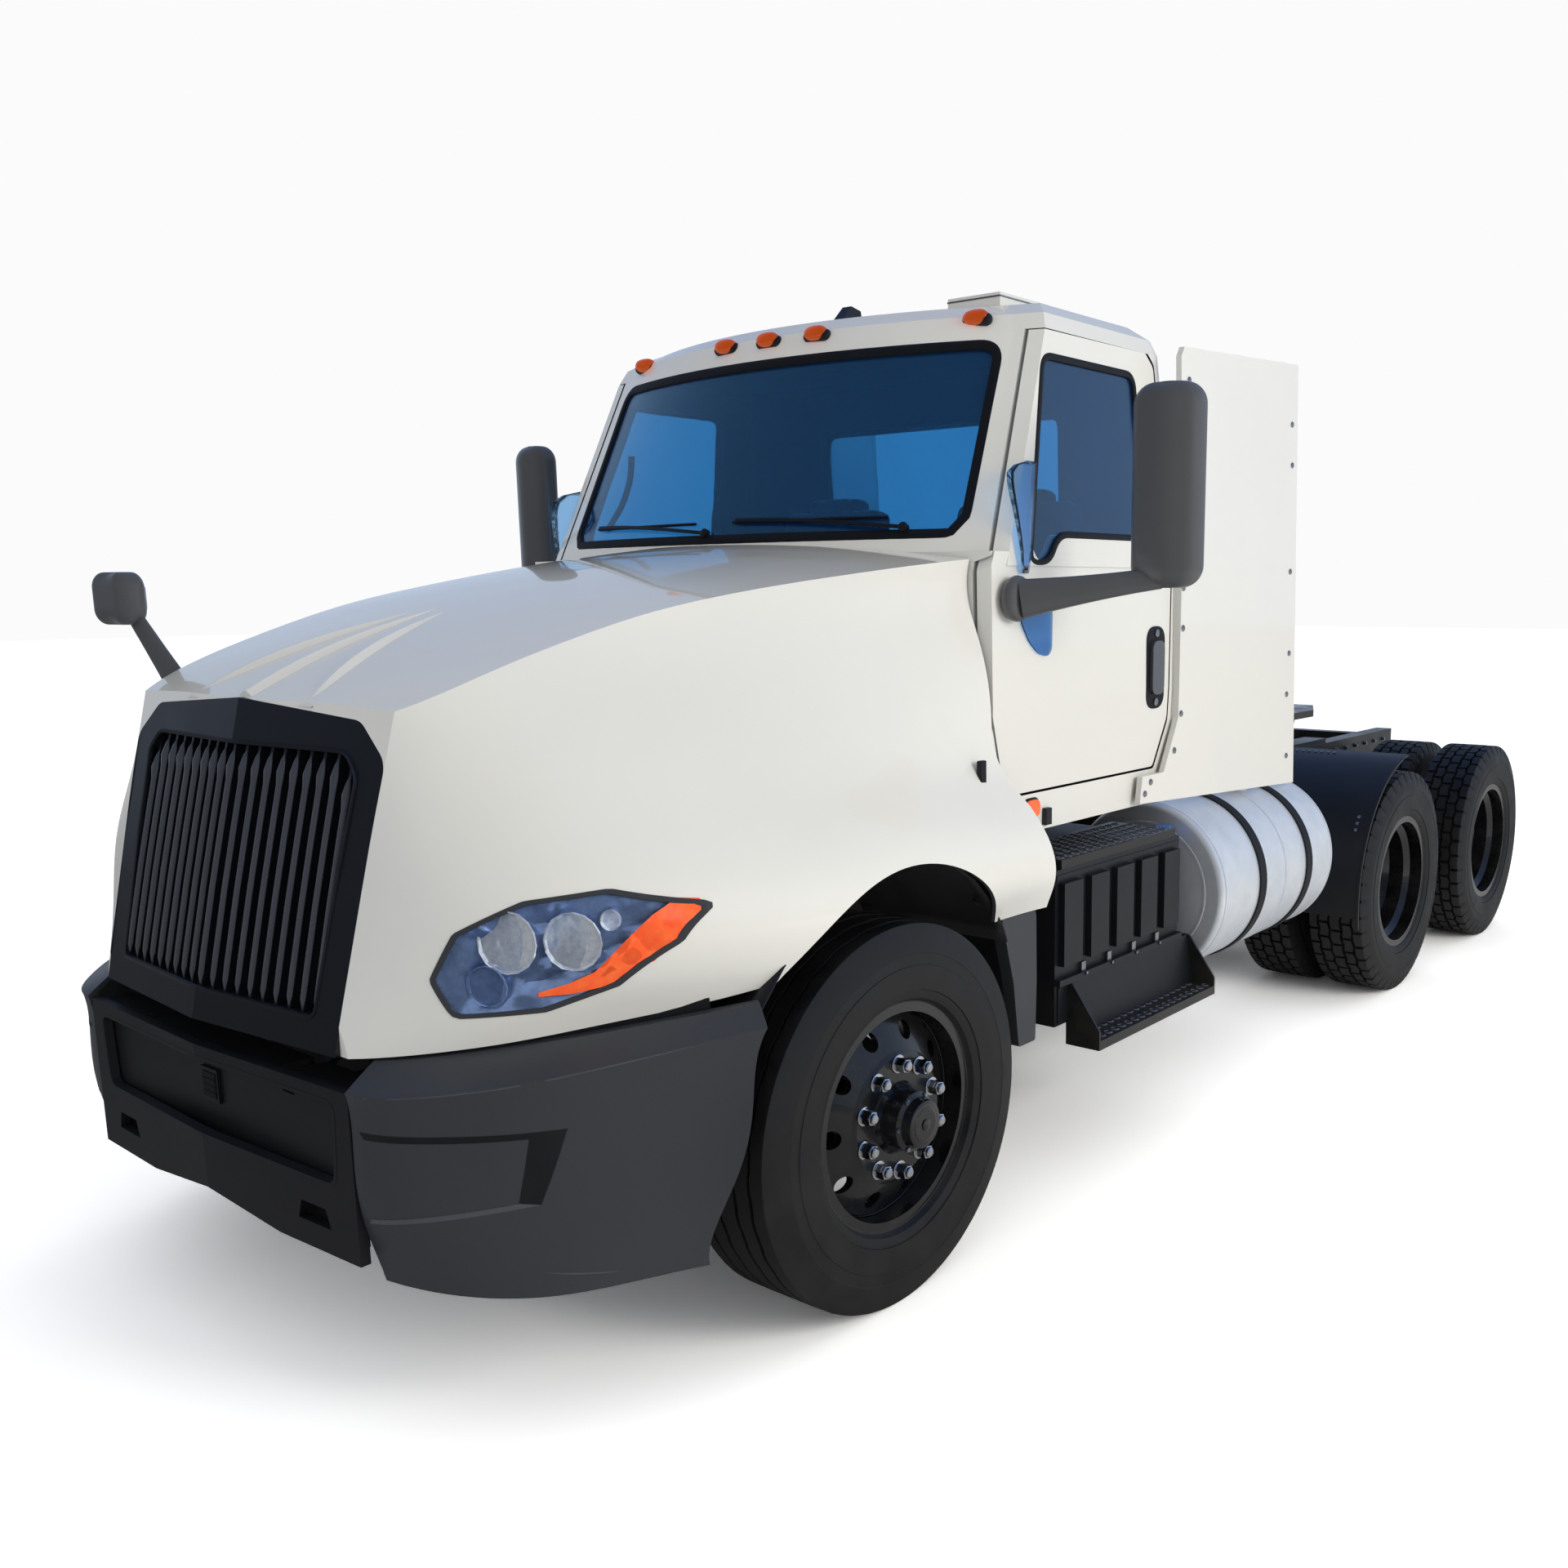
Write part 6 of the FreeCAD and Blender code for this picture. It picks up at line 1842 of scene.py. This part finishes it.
@dataclass
class SideBoxes(Assembly):
    """Battery box, exhaust box and the steps."""

    hook_pitch: float = 157.0
    treads: tuple = (("lower_step", (1125, 1205), (2150, 2870), 470), ("upper_step", (875, 1085), (2110,
        2780), 1028))
    hole_profile: tuple = ((0, 15.5), (2.6, 13.2), (3.4, 11.2), (2.6, 10.4), (0.2, 10.2))

    def dress(self) -> None:
        """Finish the boxes and steps."""
        self.paint(Palette.BLACK_PLASTIC, "battery_box", "exhaust_box")
        self.paint(Palette.CHASSIS, "cab_steps")

    def build(self) -> None:
        """Add hooks, cover panels, the raised holes of the treads and the steps' bolts."""
        hooks = Shape()
        for index in range(1, 5):
            y = 2039 + self.hook_pitch * index
            hooks.box((1098, 1112), about(y, 12), (648, 690))
            hooks.lathe([(0, 7), (16, 7), (18, 5)], (1108, y, 655), LEFT, 12)
        hooks.into("battery_box_hooks", "chassis", Palette.ZINC, bevel_mm=2)
        cover = Shape()
        cover.box((1099, 1106), (2060, 2815), (518, 632))
        cover.box((1099, 1103), (2050, 2824), (966, 985))
        cover.slab([(1108, 2112, 640), (1132, 2112, 468), (1137, 2112, 468), (1113, 2112, 640)], BACK * 776)
        cover.mirrored().into("box_cover_panels", "chassis", Palette.BLACK_PLASTIC, bevel_mm=3)
        for tread in self.treads:
            self.holes(*tread)
        bolts = Shape()
        for y, way in ((2125, -1), (2893, 1)):
            for x in (1180, 1130):
                bolts.lathe([(0, 9), (6, 9), (8, 6)], (x, y, 520), BACK * way, 6)
        bolts.mirrored().into("step_bolts", "chassis", Palette.ZINC)

    def holes(self, name: str, x_range: tuple, y_range: tuple, top: float) -> None:
        """Raised holes of a step in staggered rows.

        Args:
            name: Name of the step.
            x_range: Its inner and outer edge.
            y_range: Front and rear end of the rows.
            top: Height of the tread.
        """
        tread = Shape()
        rows = max(2, int((x_range[1] - x_range[0]) / 40))
        count = int((y_range[1] - y_range[0]) / 42)
        for i in range(rows):
            x = lerp(x_range[0] + 12, x_range[1] - 12, i / (rows - 1))
            for j in range(count + 1):
                y = lerp(*y_range, (j + 0.5 * (i % 2)) / (count + 0.5))
                tread.lathe(self.hole_profile, (x, y, top), UP, 12, closed=True)
        tread.mirrored().into(name + "_raised_holes", "chassis", Palette.BLADE, angle=50)


@dataclass
class Frame(Assembly):
    """Rails, axles, engine and what is bolted to them."""

    bolt_runs: tuple = ((2120, 2880, 150), (3080, 4300, 170), (4340, 6700, 140))
    lamp_x: tuple = (-340, -215, 215, 340)
    lamp_face: float = 6711.5
    bar_pitch: tuple[float, float] = (50, 45)
    coupling_y: float = 5310.0
    fender_radius: float = 595.5

    def dress(self) -> None:
        """Finish the chassis nodes."""
        self.paint(Palette.CHASSIS, "frame_rails", "crossmembers", "deck_plate", "front_springs",
                   "drive_shafts", "rear_suspension", "fifth_wheel_base")
        self.paint(Palette.CAST_IRON, "front_axle", "knuckle_left", "knuckle_right", "tie_rod",
                   "drive_axles")
        self.paint(Palette.ENGINE, "engine_block")
        self.paint(Palette.CORE, "radiator")
        self.paint(Palette.BLACK_PLASTIC, "quarter_fenders")
        self.paint(Palette.GREASED, "fifth_wheel_plate")

    def build(self) -> None:
        """Add the fine pieces."""
        self.bolts()
        self.rear_end()
        self.deck()
        self.coupling()
        self.fenders()
        self.air()

    def bolts(self) -> None:
        """Rows of flange bolts along both rails."""
        heads = Shape()
        for start, end, pitch in self.bolt_runs:
            for y in range(start, end, pitch):
                for z in (810, 970):
                    heads.lathe([(0, 14), (3, 14), (4, 10.5), (12, 10.5), (14, 8)], (432, y, z), LEFT, 6)
        heads.mirrored().into("rail_bolts", "chassis", Palette.ZINC, angle=30)

    def rear_end(self) -> None:
        """Bar between the rails' ends with red lamps in rubber grommets."""
        bar = Shape()
        bar.box((-423, 423), (6668, 6712), (795, 985))
        bar.into("rear_lamp_bar", "chassis", Palette.CHASSIS, bevel_mm=4)
        lamps, rims = Shape(), Shape()
        for x in self.lamp_x:
            lamps.lathe([(0, 52), (6, 52), (8, 48)], (x, self.lamp_face, 890), BACK, 32)
            rims.lathe([(0, 60), (5, 60), (6, 54), (0, 54)], (x, self.lamp_face, 890), BACK, 32, closed=True)
        lamps.into("rear_lamps", "chassis", Palette.RED, angle=40)
        rims.into("rear_lamp_grommets", "chassis", Palette.GASKET, angle=40)

    def deck(self) -> None:
        """Raised bars of the deck plate, turned left and right by turns."""
        bars = Shape()
        for i in range(24):
            for j in range(17):
                x, y = -400 + self.bar_pitch[0] * j, 3085 + self.bar_pitch[1] * i
                turn = Matrix.Rotation(radians(45 if (i + j) % 2 else -45), 3, "Z")
                bars.box(about(x, 14), about(y, 3.5), (1045.8, 1048.2), turn)
        bars.into("deck_tread_bars", "chassis", Palette.CHASSIS)

    def coupling(self) -> None:
        """Beads of grease on the coupling's plate and its release handle."""
        beads = Shape()
        arc = [radians(a) for a in range(200, 341, 10)]
        for radius in (180, 250, 320):
            path = [Vector((radius * cos(a), self.coupling_y + radius * sin(a) * 0.95, 1215))
                    for a in arc]
            beads.sweep(path, facing(UP, path), [(-5, -2), (-4, 0.35), (4, 0.35), (5, -2)])
        beads.into("coupling_grease_beads", "fifth_wheel", Palette.GREASED, angle=30)
        handle = Shape()
        handle.rod((-300, 5200, 1172), (-520, 5200, 1172), 11, 12)
        handle.rod((-520, 5200, 1172), (-520, 5230, 1172), 11, 12)
        handle.into("coupling_release_handle", "fifth_wheel", Palette.CHASSIS, angle=60)

    @staticmethod
    def spoke(degrees: float) -> Vector:
        """Direction away from an axle at this angle up from the rear."""
        return Vector((0, cos(radians(degrees)), sin(radians(degrees))))

    def fenders(self) -> None:
        """Rolled lips of the quarter fenders with their light rivets."""
        axle = Vector((0, DRIVE_AXLES["front"], AXLE_HEIGHT))
        lip = Shape()
        spokes = [self.spoke(a) for a in range(103, 192, 4)]
        for x in (1203, 592):
            path = [axle + spoke * self.fender_radius + LEFT * x for spoke in spokes]
            lip.sweep(path, spokes, [(-6, -9), (-6, 2), (0, 4), (6, 2), (6, -9)])
        lip.mirrored().into("quarter_fender_lips", "chassis", Palette.BLACK_PLASTIC, angle=50)
        rivets = Shape()
        for x, turn in [(700 + 30 * i, 101) for i in range(7)] + [(1150, 143), (1150, 146), (1150, 149)]:
            spoke = self.spoke(turn)
            place = axle + spoke * (self.fender_radius + 0.5) + LEFT * x
            rivets.lathe([(-1, 8), (2, 8), (4, 5)], place, spoke, 12)
        rivets.mirrored().into("quarter_fender_rivets", "chassis", Palette.ZINC)

    @staticmethod
    def air() -> None:
        """Air tanks between the rails."""
        tanks = Shape()
        for x in (-180, 180):
            tanks.lathe([(0, 20), (4, 80), (22, 104), (40, 112), (760, 112), (778, 104), (796, 80),
                         (800, 20)], (x, 3400, 880), BACK, 40)
        tanks.into("air_tanks", "chassis", Palette.CHASSIS, angle=50)


# Studio

@dataclass
class Studio:
    """Camera of the photograph, floor, background and soft lights."""

    lens_mm: float = 32.44
    sensor_mm: float = 36.0
    sees_to: float = 200.0
    place: tuple[float, float, float] = (3.367, -4.839, 1.840)
    yaw: float = 37.034
    pitch: float = -10.168
    roll: float = -0.288
    shift: tuple[float, float] = (-0.10684, 0.03728)
    floor_reach: float = 60.0
    floor_level: float = 0.82
    floor_seen: float = 1.6
    floor_mirrored: tuple[float, float] = (0.10, 0.60)
    front_share: float = 0.16
    background: str = "#FBFBFC"
    soft: tuple = ("#FFFFFF", "#D7D8DA", 0.98)
    mirrored: tuple = ("#CFE0F8", "#5C86C8", 0.80)
    lights: tuple = (
        # Broad low key on the vehicle's left, the side that the camera sees
        ("key", (8.0, -0.7, 3.6), (0.6, -0.6, 1.3), 3.4, 330.0, "#FFFCF6"),
        # Weak cool light on the nose, so the grille's edges draw
        ("front", (-2.5, -9.5, 3.2), (0.0, -3.0, 1.0), 2.0, 40.0, "#DCE8FF"),
        # Strip behind that draws the roof and hood lines
        ("rim", (-4.0, 4.5, 6.5), (0.0, 0.0, 1.8), 3.0, 90.0, "#EAF1FF"),
    )

    def build(self) -> None:
        """Set the studio up."""
        self.camera()
        self.floor()
        self.world()
        for light in self.lights:
            self.light(*light)
        bpy.context.scene.view_settings.view_transform = "Standard"

    def camera(self) -> None:
        """Camera with the direction and lens that were fitted to the photograph."""
        yaw, pitch, roll = (radians(a) for a in (self.yaw, self.pitch, self.roll))
        ahead = Vector((-sin(yaw) * cos(pitch), cos(yaw) * cos(pitch), sin(pitch)))
        right = ahead.cross(UP).normalized()
        up = right.cross(ahead)
        right_rolled = right * cos(roll) + up * sin(roll)
        up_rolled = up * cos(roll) - right * sin(roll)
        data = bpy.data.cameras.new("camera")
        data.lens = self.lens_mm
        data.sensor_width = self.sensor_mm
        data.shift_x, data.shift_y = self.shift
        data.clip_end = self.sees_to
        obj = bpy.data.objects.new("camera", data)
        turn = Matrix((right_rolled, up_rolled, -ahead)).transposed().to_4x4()
        obj.matrix_world = Matrix.Translation(self.place) @ turn
        bpy.context.scene.collection.objects.link(obj)
        bpy.context.scene.camera = obj

    def floor(self) -> None:
        """Plain pale floor that the camera sees a little brighter than it lights the vehicle, and that
        reflections show darker, darkest ahead of the vehicle, as painted shade.
        """
        far = self.floor_reach
        mesh = bpy.data.meshes.new("floor")
        corners = [(-far, -far, 0), (far, -far, 0), (far, far, 0), (-far, far, 0)]
        mesh.from_pydata(corners, [], [(0, 1, 2, 3)])
        obj = bpy.data.objects.new("floor", mesh)
        bpy.context.scene.collection.objects.link(obj)
        graph = Graph("pale_studio_floor")
        place = graph.add("ShaderNodeTexCoord")
        cloud = graph.add("ShaderNodeTexNoise", {
            "Vector": place.outputs["Object"], "Scale": 0.25, "Detail": 2.0})
        tone = graph.add("ShaderNodeMapRange", {
            "Value": cloud.outputs["Fac"], "To Min": 0.98, "To Max": 1.0})
        path = graph.add("ShaderNodeLightPath")
        axes = graph.add("ShaderNodeSeparateXYZ", {0: place.outputs["Object"]})
        # Painted shade seen only in reflections: the floor is darker ahead of the vehicle, darkest from five
        # metres ahead of its middle
        ahead = graph.add("ShaderNodeMapRange", {
            "Value": axes.outputs[1], "From Min": -5.0, "From Max": 0.0, "To Min": self.floor_mirrored[0],
            "To Max": self.floor_mirrored[1]})
        unseen = graph.add("ShaderNodeMix", {
            0: path.outputs["Is Glossy Ray"], 2: self.floor_level, 3: ahead.outputs[0]}, data_type="FLOAT")
        level = graph.add("ShaderNodeMix", {
            0: path.outputs["Is Camera Ray"], 2: unseen.outputs[0], 3: self.floor_seen}, data_type="FLOAT")
        both = graph.add("ShaderNodeMath", {0: tone.outputs[0], 1: level.outputs[0]}, operation="MULTIPLY")
        grey = graph.add("ShaderNodeCombineColor", {channel: both.outputs[0] for channel in range(3)})
        matt = graph.add("ShaderNodeBsdfDiffuse", {"Color": grey.outputs[0]})
        mesh.materials.append(graph.close(matt.outputs[0]))

    def world(self) -> None:
        """Neutral soft light, a bluer sky for reflections, and a pale background for the camera."""
        world = bpy.data.worlds.new("studio")
        graph = Graph("studio", world)
        place = graph.add("ShaderNodeTexCoord")
        axes = graph.add("ShaderNodeSeparateXYZ", {0: place.outputs["Generated"]})
        height = graph.add("ShaderNodeMapRange", {
            "Value": axes.outputs[2], "From Min": 0.0, "From Max": 0.8}, interpolation_type="SMOOTHSTEP")
        behind = graph.add("ShaderNodeMapRange", {
            "Value": axes.outputs[1], "From Min": -0.7, "From Max": 0.4, "To Min": self.front_share,
            "To Max": 1.0}, interpolation_type="SMOOTHSTEP")
        lights = []
        for (horizon, zenith, strength), shade in ((self.soft, 1.0), (self.mirrored, behind.outputs[0])):
            sky = graph.add("ShaderNodeMix", {
                0: height.outputs[0], 6: linear(horizon), 7: linear(zenith)}, data_type="RGBA")
            level = graph.add("ShaderNodeMath", {0: shade, 1: strength}, operation="MULTIPLY")
            lights.append(graph.add("ShaderNodeBackground", {
                "Color": sky.outputs[2], "Strength": level.outputs[0]}))
        path = graph.add("ShaderNodeLightPath")
        lit = graph.add("ShaderNodeMixShader", {
            0: path.outputs["Is Glossy Ray"], 1: lights[0].outputs[0], 2: lights[1].outputs[0]})
        seen = graph.add("ShaderNodeBackground", {"Color": linear(self.background), "Strength": 1.0})
        either = graph.add("ShaderNodeMath", {
            0: path.outputs["Is Camera Ray"], 1: path.outputs["Is Transmission Ray"]}, operation="MAXIMUM")
        mixed = graph.add("ShaderNodeMixShader", {
            0: either.outputs[0], 1: lit.outputs[0], 2: seen.outputs[0]})
        graph.add("ShaderNodeOutputWorld", {"Surface": mixed.outputs[0]})
        bpy.context.scene.world = world

    @staticmethod
    def light(name: str, place: tuple, target: tuple, size: float, energy: float, colour: str) -> None:
        """Square area light that looks at a target.

        Args:
            name: Name of the light.
            place: Where it stands, in metres.
            target: Where it looks.
            size: Side of the square.
            energy: Watts.
            colour: Colour of the light.
        """
        data = bpy.data.lights.new(name, "AREA")
        data.shape = "SQUARE"
        data.size = size
        data.energy = energy
        data.color = linear(colour)[:3]
        obj = bpy.data.objects.new(name, data)
        obj.location = place
        obj.rotation_euler = (Vector(target) - Vector(place)).to_track_quat("-Z", "Y").to_euler()
        obj.visible_glossy = False
        bpy.context.scene.collection.objects.link(obj)


def main() -> None:
    """Load the frame, dress it, add the fine pieces and set up the studio."""
    logging.basicConfig(level=logging.INFO, format="%(message)s")
    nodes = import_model()["nodes"]
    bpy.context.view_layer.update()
    parts = [Wheels(nodes), Grille(nodes), HeadLamps(nodes), Bumper(nodes), Hood(nodes), Screens(nodes),
             *(Door(nodes, side) for side in SIDES), CabOutside(nodes), CabInside(nodes), Tanks(nodes),
             SideBoxes(nodes), Frame(nodes)]
    for part in parts:
        part.dress()
        part.build()
        log.info("built %s", type(part).__name__)
    Studio().build()


if __name__ == "__main__":
    main()
